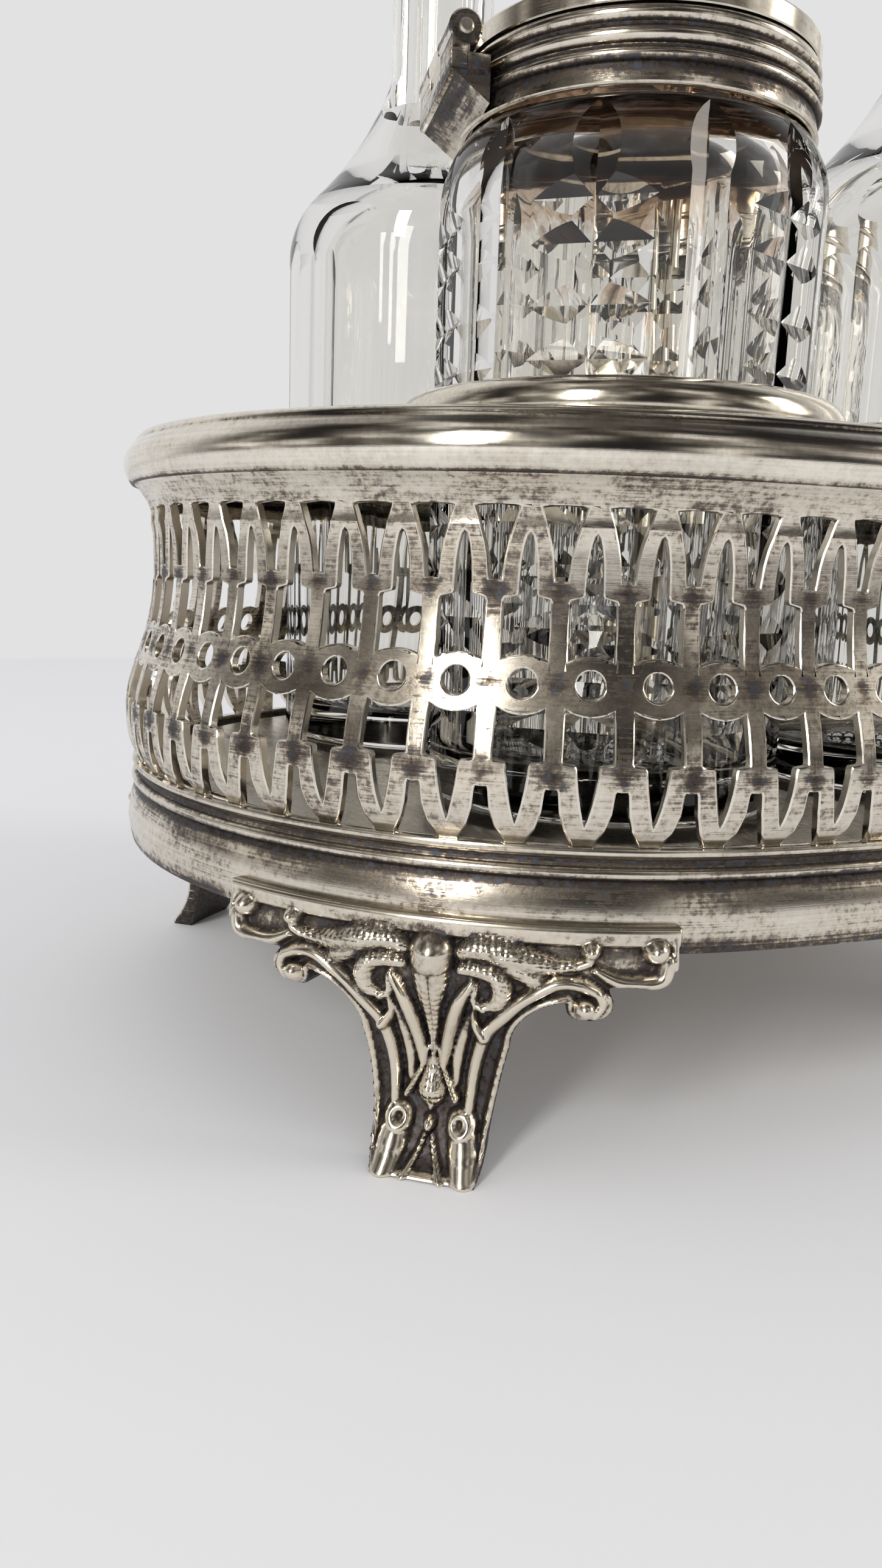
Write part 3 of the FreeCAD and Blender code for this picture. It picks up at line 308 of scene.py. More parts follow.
def pierced_cell(name, radius, turn):
    """One cell as a thin solid: flat face with its windows, cut into rows, bent and thickened."""
    p = radius * turn
    # outer border: up the right side, stepping round the two half slots, and down the left
    border = [(0.5 * p, BAND_BOTTOM)] + [(x * p, z) for x, z in reversed(SKIRT)]
    border += [(x * p, z) for x, z in FLARE] + [(0.5 * p, RIM_BOTTOM)]
    border += mirrored(border)
    curve = bpy.data.curves.new(name, "CURVE")
    curve.dimensions = "2D"
    curve.fill_mode = "BOTH"
    for loop in [border] + cell_windows(p):
        spline = curve.splines.new("POLY")
        spline.points.add(len(loop) - 1)
        for point, (x, z) in zip(spline.points, loop):
            point.co = (x, z, 0, 1)
        spline.use_cyclic_u = True
    holder = linked(name, curve)
    flat = holder.evaluated_get(bpy.context.evaluated_depsgraph_get())
    work = bmesh.new()
    work.from_mesh(bpy.data.meshes.new_from_object(flat))
    bpy.data.objects.remove(holder)
    bmesh.ops.remove_doubles(work, verts=work.verts, dist=1e-4)
    cuts = [((0, level, 0), (0, 1, 0)) for level in np.linspace(41.2, 83.2, 29)]
    cuts += [((x, 0, 0), (1, 0, 0)) for x in (-0.25 * p, 0, 0.25 * p)]
    for place, across in cuts:
        everything = work.verts[:] + work.edges[:] + work.faces[:]
        bmesh.ops.bisect_plane(work, geom=everything, plane_co=place, plane_no=across, dist=1e-3)
    # a margin round every window, which the burnisher keeps bright
    bmesh.ops.inset_region(work, faces=work.faces[:], thickness=MARGIN, use_boundary=True,
                           use_even_offset=True)
    work.verts.ensure_lookup_table()
    work.verts.index_update()
    # which way each window's edge is drawn back; the seams to the next cell stay where they are
    inward = []
    for v in work.verts:
        pull = Vector((0, 0, 0))
        for e in v.link_edges:
            side = (e.verts[1].co - e.verts[0].co).cross(Vector((0, 0, 1)))
            if len(e.link_faces) == 1 and side.length:
                side.normalize()
                middle = (e.verts[0].co + e.verts[1].co) / 2
                pull += side if side.dot(e.link_faces[0].calc_center_median() - middle) >= 0 else -side
        at_seam = abs(abs(v.co.x) - 0.5 * p) < 1e-3 or v.co.y < BAND_BOTTOM + 0.1 or v.co.y > RIM_BOTTOM - 0.1
        inward.append(Vector((0, 0, 0)) if at_seam or not pull.length else pull.normalized())
    # three skins: the burnished corner, just behind it, and the inner face
    verts, faces, recess = [], [], []
    for depth, draw in ((0.0, BURNISH), (0.13, 0.0), (SHEET - 0.05, 0.0)):
        for v, pull in zip(work.verts, inward):
            x, z, _ = v.co + pull * draw
            r = radius + belly(z) - depth
            verts.append((r * math.cos(x / radius), r * math.sin(x / radius), z))
            joints = max(math.exp(-((z - level) / 1.3)**2) * math.exp(-((0.5 - abs(x) / p) / 0.16)**2)
                         for level in JOINT_LEVELS)
            recess.append(-0.6 if pull.length else 0.05 + 0.6 * joints)
    count = len(work.verts)
    for f in work.faces:
        loop = [v.index for v in f.verts]
        faces += [loop, [i + 2 * count for i in reversed(loop)]]
    for e in work.edges:
        on_seam = all(abs(abs(v.co.x) - 0.5 * p) < 1e-3 for v in e.verts)
        if len(e.link_faces) == 1 and not on_seam:
            a, b = (v.index for v in e.verts)
            faces += [[a + k, b + k, b + k + count, a + k + count] for k in (0, count)]
    work.free()
    return bpy.data.objects.new(name, skin(name, verts, faces, {"recess": recess}, 35, 1e-7))


def band_tree(material):
    """Geometry Nodes: copies of one cell turned step by step round an arc's centre."""
    tree = bpy.data.node_groups.new("pierced band", "GeometryNodeTree")
    for name, kind in (("Geometry", "Geometry"), ("Cell", "Object"), ("Cells", "Int"),
                       ("First angle", "Float"), ("Step", "Float"), ("Centre", "Vector")):
        tree.interface.new_socket(name, in_out="INPUT", socket_type="NodeSocket" + kind)
    tree.interface.new_socket("Geometry", in_out="OUTPUT", socket_type="NodeSocketGeometry")
    given = add_node(tree, "NodeGroupInput").outputs
    line = add_node(tree, "GeometryNodeMeshLine", {"Count": given["Cells"], "Offset": (0, 0, 0)})
    put = add_node(tree, "GeometryNodeSetPosition", {"Geometry": line, "Position": given["Centre"]})
    index = add_node(tree, "GeometryNodeInputIndex")
    angle = add_node(tree, "ShaderNodeMath", {0: index, 1: given["Step"], 2: given["First angle"]},
                     operation="MULTIPLY_ADD")
    turn = add_node(tree, "ShaderNodeCombineXYZ", {"Z": angle})
    cell = add_node(tree, "GeometryNodeObjectInfo", {"Object": given["Cell"]}).outputs["Geometry"]
    copies = add_node(tree, "GeometryNodeInstanceOnPoints",
                      {"Points": put, "Instance": cell, "Rotation": turn})
    real = add_node(tree, "GeometryNodeRealizeInstances", {"Geometry": copies})
    joined = add_node(tree, "GeometryNodeMergeByDistance", {"Geometry": real, "Distance": 0.00001})
    finish = add_node(tree, "GeometryNodeSetMaterial", {"Geometry": joined, "Material": material})
    add_node(tree, "NodeGroupOutput", {"Geometry": finish})
    return tree


def kept(holder):
    """Turns an object into the plain mesh that its modifiers make."""
    made = bpy.data.meshes.new_from_object(holder.evaluated_get(bpy.context.evaluated_depsgraph_get()))
    holder.modifiers.clear()
    holder.data = made


band_silver = silver_plate("silver plate, pierced and brushed", dirt=0.8, streak=(0.12, 0.12, 3.0))
band_nodes = band_tree(band_silver)
for arc, (cx, cy, radius, middle, half, cells) in ARCS.items():
    step = 2 * half / cells
    cell = pierced_cell("cell_" + arc, radius, step)
    band = linked("pierced_band_" + arc, bpy.data.meshes.new("pierced_band_" + arc))
    modifier = band.modifiers.new("make", "NODES")
    modifier.node_group = band_nodes
    values = {"Cell": cell, "Cells": cells, "First angle": middle - half + step / 2, "Step": step,
              "Centre": (cx * MM, cy * MM, 0.0)}
    for item in band_nodes.interface.items_tree:
        if item.in_out == "INPUT" and item.name in values:
            modifier[item.identifier] = values[item.name]
    kept(band)
    claimed(band, "stand", ["gallery_" + arc])
    bpy.data.objects.remove(cell)

# --- Rim, top plate and rings ------------------------------------------------------------------
# The rim is a half-round roll with a sharp under-edge, soldered on the band; a flat top plate
# drops inside it. Each glass stands in a convex ring whose spigot goes through the plate.
rim_silver = silver_plate("silver plate, polished roll", bright="#F0EADD", dirt=0.25,
                          streak=(0.03, 0.03, 2.5), rough=0.14)
RIM_TOP, DECK_TOP, RING_TOP, FOOT_TOP, FLOOR_TOP = (
    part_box(node)[1].z / MM
    for node in ("top_rim", "top_plate", "ring_front_left", "foot_front_left", "floor_plate"))
rim_section = traced([
    (0.9, RIM_BOTTOM), (1.4, RIM_BOTTOM), (2.5, RIM_BOTTOM + 2.9, 1.1, RIM_BOTTOM + 5.8),
    (0.6, RIM_TOP - 1.0), (0.2, RIM_TOP - 0.3, -0.6, RIM_TOP),
    (-2.3, RIM_TOP), (-2.4, RIM_TOP - 0.1), (-2.4, DECK_TOP - 1.2),
    (-6.0, DECK_TOP - 1.2), (-6.0, DECK_TOP - 2.4), (-1.4, DECK_TOP - 2.4), (-1.4, RIM_BOTTOM),
])
swept("rolled_rim", rim_section, rim_silver, ["top_rim"], ((RIM_BOTTOM, 0.5, 0.9), (RIM_TOP - 1.1, 0.5, 0.5)))


def spun(steps, centre=(0, 0), parts=48, arc_parts=8, shift=0.5):
    """Vertices and faces of a turned piece. Its section ends on the axis, or closes on itself where
    it stays off the axis; shift turns it by a part of one facet."""
    verts, rows, faces = [], [], []
    for x, z in traced(steps, arc_parts):
        facets = 1 if x < 1e-6 else parts
        rows.append([len(verts) + k % facets for k in range(parts)])
        for k in range(facets):
            a = math.tau * (k + shift) / parts
            verts.append((centre[0] + x * math.cos(a), centre[1] + x * math.sin(a), z))
    if steps[0][0] > 1e-6:
        rows.append(rows[0])
    for low, high in zip(rows, rows[1:]):
        for k in range(parts):
            i = (k + 1) % parts
            loop = tuple(dict.fromkeys((low[k], low[i], high[i], high[k])))
            if len(loop) > 2:
                faces.append(loop)
    return verts, faces


STATIONS = {"front_left": (-30.5, -30.5), "front_right": (30.5, -30.5),
            "back_left": (-30.5, 30.5), "back_right": (30.5, 30.5)}
ring_silver = silver_plate("silver plate, turned ring", bright="#EBE3D2", dirt=0.4,
                           streak=(0.05, 0.05, 1.5), rough=0.16)
for place, centre in STATIONS.items():
    ring = spun([
        (27.2, DECK_TOP - 2.6), (28.4, DECK_TOP - 2.6), (28.4, DECK_TOP), (30.2, DECK_TOP),
        (30.1, RING_TOP - 1.2, 28.4, RING_TOP), (27.5, RING_TOP - 0.5), (27.2, RING_TOP - 1.4),
    ], centre, 128, 12, 0.0)
    finish_mesh("raised_ring_" + place, *ring, "stand", ring_silver, ["ring_" + place])
plate_silver = silver_plate("silver plate, flat rolled", dirt=0.55, streak=(0.3, 0.05, 0.3), rough=0.28)
for node in ("top_plate", "floor_plate", "handle_nut"):
    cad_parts[node].data.materials.clear()
    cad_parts[node].data.materials.append(plate_silver)

# --- Feet --------------------------------------------------------------------------------------
# Cast and chased: a bracket soldered to the moulding, with a smooth top edge, a pair of scaled
# tapering scrolls, volutes and a polished bulb; a ribbed shaft; and an out-turned scrolled toe.
FOOT_PLACE = math.radians(49.0)
SPAN, GRID = 29.0, 0.25
foot_silver = silver_plate("silver plate, cast and chased", bright="#EAE1D0", dirt=0.62,
                           streak=(0.8, 0.8, 0.8), rough=0.22, relief=0.42)
foot_tree = foot_silver.node_tree
scratched = next(n for n in foot_tree.nodes if n.type == "BUMP")
scaly = add_node(foot_tree, "ShaderNodeAttribute", attribute_name="scaled").outputs["Fac"]
laid_flat = add_node(foot_tree, "ShaderNodeAttribute", attribute_name="flat").outputs["Vector"]
# chased scales are 0.8 mm across
scales = add_node(foot_tree, "ShaderNodeTexVoronoi", {"Vector": laid_flat, "Scale": 1.25, "Randomness": 0.45})
cupped = add_node(foot_tree, "ShaderNodeMath", {0: scales, 1: scaly}, operation="MULTIPLY")
chased = add_node(foot_tree, "ShaderNodeBump", {
    "Height": cupped, "Strength": 0.7, "Distance": 0.0003, "Normal": scratched}, invert=True)
foot_tree.links.new(chased.outputs["Normal"], foot_tree.nodes["Principled BSDF"].inputs["Normal"])

foot_right = traced([
    (SPAN, FOOT_TOP), (SPAN, 29.8), (SPAN - 0.6, 27.2, SPAN - 3.4, 26.0),
    (SPAN - 6.4, 26.3, SPAN - 8.2, 25.4), (SPAN - 7.7, 22.9, SPAN - 10.2, 21.7),
    (SPAN - 12.6, 22.2, SPAN - 13.0, 23.9),
    (11.4, 21.6, 9.6, 17.0), (8.3, 10.5, 7.4, 4.6), (7.1, 2.0, 6.4, 0.0),
], 10)
foot_outline = np.array(foot_right + mirrored(foot_right))
# how far the foot's front and back stand out from the band's line, by height from the floor up
front_out, front_levels = np.array(traced([
    (3.6, FOOT_TOP), (4.9, 28.5, 3.4, 20.0), (2.0, 8.5, 4.4, 2.4), (6.6, 0.0)], 10))[::-1].T
back_out, back_levels = np.array(traced([
    (1.6, FOOT_TOP), (1.4, 29.4), (0.6, 20.0), (-0.4, 9.0, 2.4, 0.0)], 10))[::-1].T


def to_segments(px, pz, points, widths):
    """Distance from grid points to a bent line, and the line's half width at the nearest place."""
    best = np.full(px.shape, 1e9)
    half = np.zeros(px.shape)
    for (ax, az), (bx, bz), wa, wb in zip(points, points[1:], widths, widths[1:]):
        dx, dz = bx - ax, bz - az
        t = np.clip(((px - ax) * dx + (pz - az) * dz) / (dx * dx + dz * dz), 0, 1)
        d = np.hypot(px - ax - t * dx, pz - az - t * dz)
        closer = d - (wa + t * (wb - wa)) < best - half
        best = np.where(closer, d, best)
        half = np.where(closer, wa + t * (wb - wa), half)
    return best, half


def rounded(points, parts=6):
    """A smooth line through a few points."""
    p = np.array([points[0]] + list(points) + [points[-1]], float)
    out = []
    for k in range(1, len(p) - 2):
        for t in np.linspace(0, 1, parts, endpoint=False):
            out.append(0.5 * ((2 * p[k]) + (p[k + 1] - p[k - 1]) * t
                              + (2 * p[k - 1] - 5 * p[k] + 4 * p[k + 1] - p[k + 2]) * t**2
                              + (3 * p[k] - p[k - 1] - 3 * p[k + 1] + p[k + 2]) * t**3))
    out.append(p[-2])
    return out


# chased forms on the right half, mirrored: line, half widths along it, height, scaled or plain
CHASING = [
    ([(3.4, 29.2), (5.8, 30.0), (8.8, 29.5), (12.0, 28.7), (14.6, 28.3), (17.0, 28.6)],
     (1.1, 1.8, 2.1, 1.6, 1.1, 0.8), 2.2, 1),
    ([(17.0, 28.6), (18.2, 29.2), (18.4, 30.3)], (0.75, 0.8, 0.9), 1.7, 0),
    ([(18.4, 30.5), (18.5, 30.6)], (1.25, 1.25), 2.4, 0),
    ([(9.6, 28.2), (11.9, 26.9), (13.6, 25.6)], (1.6, 1.5, 0.9), 1.7, 1),
    ([(3.6, 27.2), (5.4, 27.4), (7.6, 26.8), (8.5, 25.0), (7.9, 23.2), (6.3, 22.6)],
     (0.9, 1.2, 1.45, 1.5, 1.3, 0.8), 2.0, 1),
    ([(6.3, 22.4), (5.2, 23.2), (5.3, 25.2), (4.8, 26.1)], (0.8, 0.6, 0.5, 0.4), 1.6, 1),
    ([(1.3, 13.6), (1.8, 16.6), (2.6, 20.0), (3.5, 23.0), (5.0, 25.6)], (0.8, 1.0, 1.1, 1.0, 0.6), 1.9, 0),
    ([(2.9, 11.2), (3.1, 14.7), (3.8, 18.0), (4.8, 21.4)], (0.7, 0.95, 0.9, 0.4), 1.2, 0),
    ([(4.8, 8.2), (5.2, 12.9), (6.0, 16.7), (6.8, 18.9), (8.3, 20.9), (10.4, 23.5), (12.6, 25.3),
      (14.9, 26.5), (17.2, 26.4), (19.4, 25.4)],
     (0.85, 0.95, 1.0, 1.05, 1.05, 1.05, 1.1, 1.05, 1.0, 0.9), 1.9, 0),
    ([(19.4, 25.4), (20.0, 23.9), (19.2, 22.6)], (0.8, 0.8, 0.9), 1.9, 0),
    ([(18.1, 23.2), (18.2, 23.2)], (1.55, 1.55), 2.3, 0),
    ([(5.2, 22.4), (5.3, 20.0), (6.4, 18.2)], (0.3, 0.65, 1.1), 2.4, 0),
    ([(27.4, 29.4), (26.8, 27.2), (24.4, 26.6), (21.6, 26.9), (19.2, 28.0)],
     (1.2, 1.25, 1.2, 1.0, 0.6), 1.7, 0),
    ([(26.0, 30.6), (26.1, 30.7)], (1.75, 1.75), 2.5, 0),
    ([(28.2, 32.0), (28.3, 28.6)], (0.7, 0.6), 1.5, 0),
    ([(0.6, 15.8), (1.6, 12.6), (3.1, 9.4)], (0.3, 0.45, 0.6), 2.1, 0),
    ([(4.1, 6.4), (4.1, 6.0)], (2.05, 2.05), 2.5, 0),
    ([(4.3, 5.6), (4.6, 3.2), (5.0, 0.4)], (1.9, 2.1, 1.7), 2.1, 0),
    ([(0.0, 6.3), (0.0, 5.9)], (0.85, 0.85), 2.1, 0),
    ([(0.5, 4.6), (1.1, 2.6), (2.4, 0.0)], (0.35, 0.4, 0.5), 1.5, 0),
    ([(0.0, 29.0), (0.0, 28.0)], (2.85, 2.7), 3.0, 0),
    ([(0.0, 27.0), (0.0, 24.8), (0.0, 21.6), (0.0, 18.4), (0.0, 15.0)], (2.6, 2.25, 1.45, 0.85, 0.5), 2.3, 1),
    ([(0.0, 15.2), (0.0, 12.8), (0.0, 10.3), (0.0, 9.0), (0.0, 7.6)], (0.2, 1.3, 2.15, 1.4, 0.2), 2.5, 1),
]


def foot_relief():
    """Grid over the foot's front view: raised height, dirt in the hollows and where scales are."""
    xs = np.arange(-SPAN - GRID, SPAN + 2 * GRID, GRID)
    zs = np.arange(0.0, FOOT_TOP + GRID, GRID)
    x, z = np.meshgrid(xs, zs)
    ax = np.abs(x)
    height = np.zeros(x.shape)
    scaled = np.zeros(x.shape)
    for line, half_widths, top, scale in CHASING:
        path = rounded(line) if len(line) > 2 else line
        widths = np.interp(np.linspace(0, 1, len(path)), np.linspace(0, 1, len(line)), half_widths)
        d, half = to_segments(ax, z, path, widths)
        dome = top * np.clip(1 - (d / np.maximum(half, 1e-6))**1.9, 0, 1)**0.65
        dome *= np.clip(half / max(half_widths), 0.5, 1)
        over = dome > height
        height = np.where(over, dome, height)
        scaled = np.where(over, float(scale), scaled)
    # smooth top edge of the bracket, leaning out a little, and a hollow seam down the scaled stem
    band = np.clip((z - FOOT_TOP + 2.6) / 0.5, 0, 1) * (1.0 + 0.8 * np.clip((z - FOOT_TOP + 2.4) / 2.4, 0, 1))
    height = np.maximum(height, band)
    height -= 0.35 * np.exp(-(x / 0.22)**2) * ((z < 26.4) & (z > 15.0))
    # rolled ends of the toe's scrolls are hollow
    height -= 1.5 * np.exp(-(((ax - 3.9)**2 + (z - 6.5)**2) / 0.8**2))
    return x, z, height, scaled


def inside(px, pz, loop):
    """Which grid points lie within a closed outline."""
    odd = np.zeros(px.shape, bool)
    for (ax, az), (bx, bz) in zip(loop, np.roll(loop, -1, 0)):
        crosses = (az > pz) != (bz > pz)
        odd ^= crosses & (px < (bx - ax) * (pz - az) / ((bz - az) if bz != az else 1e-9) + ax)
    return odd


grid_x, grid_z, relief, scaled = foot_relief()
within = inside(grid_x, grid_z, foot_outline)
closed_outline = list(foot_outline) + [foot_outline[0]]
edge_gap, _ = to_segments(grid_x, grid_z, closed_outline, [0.0] * len(closed_outline))
gap_in = np.where(within, edge_gap, -edge_gap)
relief = np.where(grid_z < 25.5, np.maximum(relief, 1.1 * np.exp(-((edge_gap - 0.45) / 0.55)**2)), relief)
relief = relief - 0.4 * np.clip(1 - edge_gap / 0.4, 0, 1)**2
keep = gap_in > -0.72 * GRID
# dirt lies where the surface is lower than what is round it
spread = np.exp(-(np.arange(-9, 10) * GRID / 1.1)**2)
around = np.maximum(relief, 0)
for axis in (0, 1):
    around = np.apply_along_axis(np.convolve, axis, around, spread / spread.sum(), "same")
deep = np.interp(grid_z, (23.0, 26.0), (1.1, 0.65))
hollow = np.clip(0.1 + deep * (around - relief) + 0.45 * (relief < 0.5) * (grid_z < 24.0), -0.4, 1.15)


def snapped(px, pz):
    """Nearest point of the outline, for grid corners that fall just outside it."""
    best, place = 1e9, (px, pz)
    for (ax, az), (bx, bz) in zip(foot_outline, np.roll(foot_outline, -1, 0)):
        dx, dz = bx - ax, bz - az
        t = min(max(((px - ax) * dx + (pz - az) * dz) / (dx * dx + dz * dz + 1e-12), 0), 1)
        d = math.hypot(px - ax - t * dx, pz - az - t * dz)
        if d < best:
            best, place = d, (ax + t * dx, az + t * dz)
    return place


rows, columns = grid_x.shape
foot_numbers = -np.ones(grid_x.shape, int)
foot_points = []
for i in range(rows):
    for j in range(columns):
        if keep[i, j]:
            px, pz = grid_x[i, j], grid_z[i, j]
            if gap_in[i, j] < 0.45 * GRID:
                px, pz = snapped(px, pz)
            foot_numbers[i, j] = len(foot_points)
            foot_points.append((px, pz, relief[i, j], hollow[i, j], scaled[i, j]))
foot_quads = []
for i in range(rows - 1):
    for j in range(columns - 1):
        loop = [foot_numbers[i + u, j + v] for u, v in ((0, 0), (0, 1), (1, 1), (1, 0))]
        if min(loop) >= 0:
            foot_quads.append(loop)


def foot_piece(name, arc, side, node):
    """One foot: the relief bent round the band's line, a plain back, and walls between them."""
    cx, cy, radius, middle, _, _ = ARCS[arc]
    spin = middle + side * FOOT_PLACE
    cast_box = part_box(node)
    verts, marks = [], {"recess": [], "scaled": [], "flat": []}
    for at_back in (False, True):
        for px, pz, lift, dirt, scale in foot_points:
            back = np.interp(pz, back_levels, back_out)
            front = max(np.interp(pz, front_levels, front_out) - 0.9 + lift, back + 0.3)
            r = radius + (back if at_back else front)
            a = px / (radius + 3.5)
            x, y = r * math.cos(a), r * math.sin(a)
            here = Vector((cx + x * math.cos(spin) - y * math.sin(spin),
                           cy + x * math.sin(spin) + y * math.cos(spin), pz))
            verts.append([min(max(c, low / MM), high / MM) for c, low, high in zip(here, *cast_box)])
            marks["recess"].append(0.5 if at_back else dirt)
            marks["scaled"].append(0.0 if at_back else scale)
            marks["flat"].append((px, pz, 0.0))
    count = len(foot_points)
    edges = {(a, b) for loop in foot_quads for a, b in zip(loop, loop[1:] + loop[:1])}
    faces = []
    for loop in foot_quads:
        faces += [loop, [k + count for k in reversed(loop)]]
    for loop in foot_quads:
        for a, b in zip(loop, loop[1:] + loop[:1]):
            if (b, a) not in edges:
                faces.append([b, a, a + count, b + count])
    foot = linked(name, skin(name, verts, faces, marks, 65, 0))
    foot.data.materials.append(foot_silver)
    claimed(foot, "stand", [node])


for end, outward in (("left", -1), ("right", 1)):
    for side, word in ((-1, "front"), (1, "back")):
        foot_piece(f"chased_foot_{word}_{end}", end + "_end", side * outward, f"foot_{word}_{end}")

# --- Handle ------------------------------------------------------------------------------------
# A turned stem rises from the floor through a dished collar, and carries a cast loop of round bar:
# a half circle on two long arcs that close on a socket.
STEM, LOOP_SHOULDER, LOOP_WIDE, LOOP_DROP, LOOP_BAR = 4.0, 232.0, 20.0, 34.0, 3.0
handle_silver = silver_plate("silver plate, cast and polished", bright="#ECE5D6", dirt=0.3,
                             streak=(0.4, 0.4, 0.1), rough=0.15)
socket = LOOP_SHOULDER - LOOP_DROP - LOOP_BAR
stem = spun([
    (0, FLOOR_TOP - 9.0), (3.0, FLOOR_TOP - 9.0), (3.0, FLOOR_TOP), (STEM + 1.5, FLOOR_TOP),
    (STEM + 1.5, FLOOR_TOP + 2), (STEM, FLOOR_TOP + 4), (STEM, DECK_TOP + 5.0),
    (STEM + 3.6, DECK_TOP + 9.5, STEM - 0.8, DECK_TOP + 15.0),
    (STEM - 1.6, DECK_TOP + 24.0, STEM - 1.2, DECK_TOP + 60.0), (STEM - 1.0, socket - 12.0),
    (STEM + 1.6, socket - 8.0, STEM - 0.8, socket - 4.0), (STEM - 0.4, socket - 3.0), (2.0, socket - 3.0),
    (2.0, socket + 2.0), (0, socket + 2.0),
], shift=0.0)
finish_mesh("turned_stem", *stem, "stand", handle_silver, ["handle_stem"])
collar = spun([
    (STEM + 0.2, DECK_TOP), (9.5, DECK_TOP), (9.5, DECK_TOP + 0.8),
    (6.9, DECK_TOP + 1.4, STEM + 1.0, DECK_TOP + 3.6), (STEM + 0.2, DECK_TOP + 3.6),
], parts=64, shift=0.0)
finish_mesh("dished_collar", *collar, "stand", handle_silver, ["handle_collar"])


def tube(path, bar, sides=20):
    """Round bar along a flat path in the XZ plane, closed by a flat face at each end."""
    verts, faces = [], []
    for k, (x, z) in enumerate(path):
        ax, az = path[max(k - 1, 0)]
        bx, bz = path[min(k + 1, len(path) - 1)]
        length = math.hypot(bx - ax, bz - az)
        nx, nz = (bz - az) / length, (ax - bx) / length
        for j in range(sides):
            a = math.tau * j / sides
            verts.append((x + bar * math.cos(a) * nx, bar * math.sin(a), z + bar * math.cos(a) * nz))
    for k in range(len(path) - 1):
        for j in range(sides):
            i = (j + 1) % sides
            faces.append((k * sides + j, k * sides + i, (k + 1) * sides + i, (k + 1) * sides + j))
    faces.append(tuple(range(sides)))
    faces.append(tuple(range((len(path) - 1) * sides, len(path) * sides)))
    return verts, faces


def gathered(parts):
    """Several meshes as one list of vertices and one of faces."""
    verts, faces = [], []
    for part_verts, part_faces in parts:
        faces += [tuple(i + len(verts) for i in face) for face in part_faces]
        verts += part_verts
    return verts, faces


sweep = (LOOP_WIDE**2 + LOOP_DROP**2) / (2 * LOOP_WIDE)
leg = [(LOOP_WIDE - sweep + sweep * math.cos(a), LOOP_SHOULDER - sweep * math.sin(a))
       for a in np.linspace(math.asin(LOOP_DROP / sweep), 0, 24)]
arch = [(LOOP_WIDE * math.cos(a), LOOP_SHOULDER + LOOP_WIDE * math.sin(a))
        for a in np.linspace(0, math.pi, 49)[1:-1]]
loop_top = LOOP_SHOULDER + LOOP_WIDE + LOOP_BAR
loop_verts, loop_faces = gathered([
    tube(leg + arch + mirrored(leg), LOOP_BAR),
    spun([(0, socket - 3.0), (STEM, socket - 3.0), (STEM + 1.4, socket, STEM - 0.5, socket + 4.0),
          (1.5, socket + 7.5), (0, socket + 7.5)]),
    spun([(0, loop_top - 1.0), (2.0, loop_top - 1.0), (2.8, loop_top + 1.2, 1.2, loop_top + 2.8),
          (0, loop_top + 2.8)]),
])
finish_mesh("cast_loop", loop_verts, loop_faces, "stand", handle_silver, ["handle_loop"])

# --- Cut glass ---------------------------------------------------------------------------------
# Lead crystal blown thick and cut on a wheel. Pots: V flutes with pointed tops, and between them
# columns of mitre cuts crossed by a flute, so each cut closes to a bow-tie. Bottles: flat panels.
POT, POT_WALL, POT_NECK = 25.8, 3.6, 21.0
POT_SHOULDER, POT_MOUTH, COLLAR_BOTTOM = 119.0, 136.0, 128.5
FLUTE_DEPTH, CUT_DEPTH, CUT_FLARE = 1.15, 1.08, 2.3
GLASS_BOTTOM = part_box("mustard_glass")[0].z / MM


def crystal(name, stain=None):
    """Clear lead glass, faintly grey; under a mount it holds a brown crust of old mustard."""
    material, tree, shader = new_material(name)
    for socket, value in (("Base Color", srgb("#F7F6F3")), ("Roughness", 0.015), ("IOR", 1.46),
                          ("Transmission Weight", 1.0)):
        shader.inputs[socket].default_value = value
    if stain is None:
        return material
    # the crust is dried on the inner wall only, from its level up, in patches a few mm across
    (cx, cy), wall, level = stain
    mm = millimetres(tree)
    patches = add_node(tree, "ShaderNodeTexNoise",
                       {"Vector": mm, "Scale": 0.14, "Detail": 7.0, "Roughness": 0.7})
    from_axis = add_node(tree, "ShaderNodeVectorMath", {0: mm, 1: (cx, cy, 0)}, operation="SUBTRACT")
    across = add_node(tree, "ShaderNodeVectorMath", {0: from_axis, 1: (1, 1, 0)}, operation="MULTIPLY")
    radius = add_node(tree, "ShaderNodeVectorMath", {0: across}, operation="LENGTH").outputs["Value"]
    inner = add_node(tree, "ShaderNodeMath", {0: radius, 1: wall + 0.2}, operation="LESS_THAN")
    height = add_node(tree, "ShaderNodeSeparateXYZ", {"Vector": mm}).outputs["Z"]
    rise = add_node(tree, "ShaderNodeMapRange", {0: height, 1: level - 8.0, 2: level + 8.0, 3: -0.35, 4: 0.4})
    both = add_node(tree, "ShaderNodeMath", {0: patches, 1: rise}, operation="ADD")
    thick = add_node(tree, "ShaderNodeMapRange", {0: both, 1: 0.50, 2: 0.86})
    crust = add_node(tree, "ShaderNodeMath", {0: thick, 1: inner}, operation="MULTIPLY")
    tint = add_node(tree, "ShaderNodeValToRGB", {"Fac": crust},
                    [(0.0, "#F7F6F3"), (0.35, "#C39F7E"), (1.0, "#5E3B27")])
    clear = add_node(tree, "ShaderNodeMapRange", {0: crust, 3: 1.0, 4: 0.86})
    tree.links.new(tint.outputs[0], shader.inputs["Base Color"])
    tree.links.new(clear.outputs[0], shader.inputs["Transmission Weight"])
    return material


def circle(radius, parts, outward=0.0):
    """Points of a circle, as (outward, across), whose centre may lie outward from the axis."""
    turns = np.linspace(0, math.tau, parts + 1)[:-1]
    return [(outward + radius * math.cos(a), radius * math.sin(a)) for a in turns]


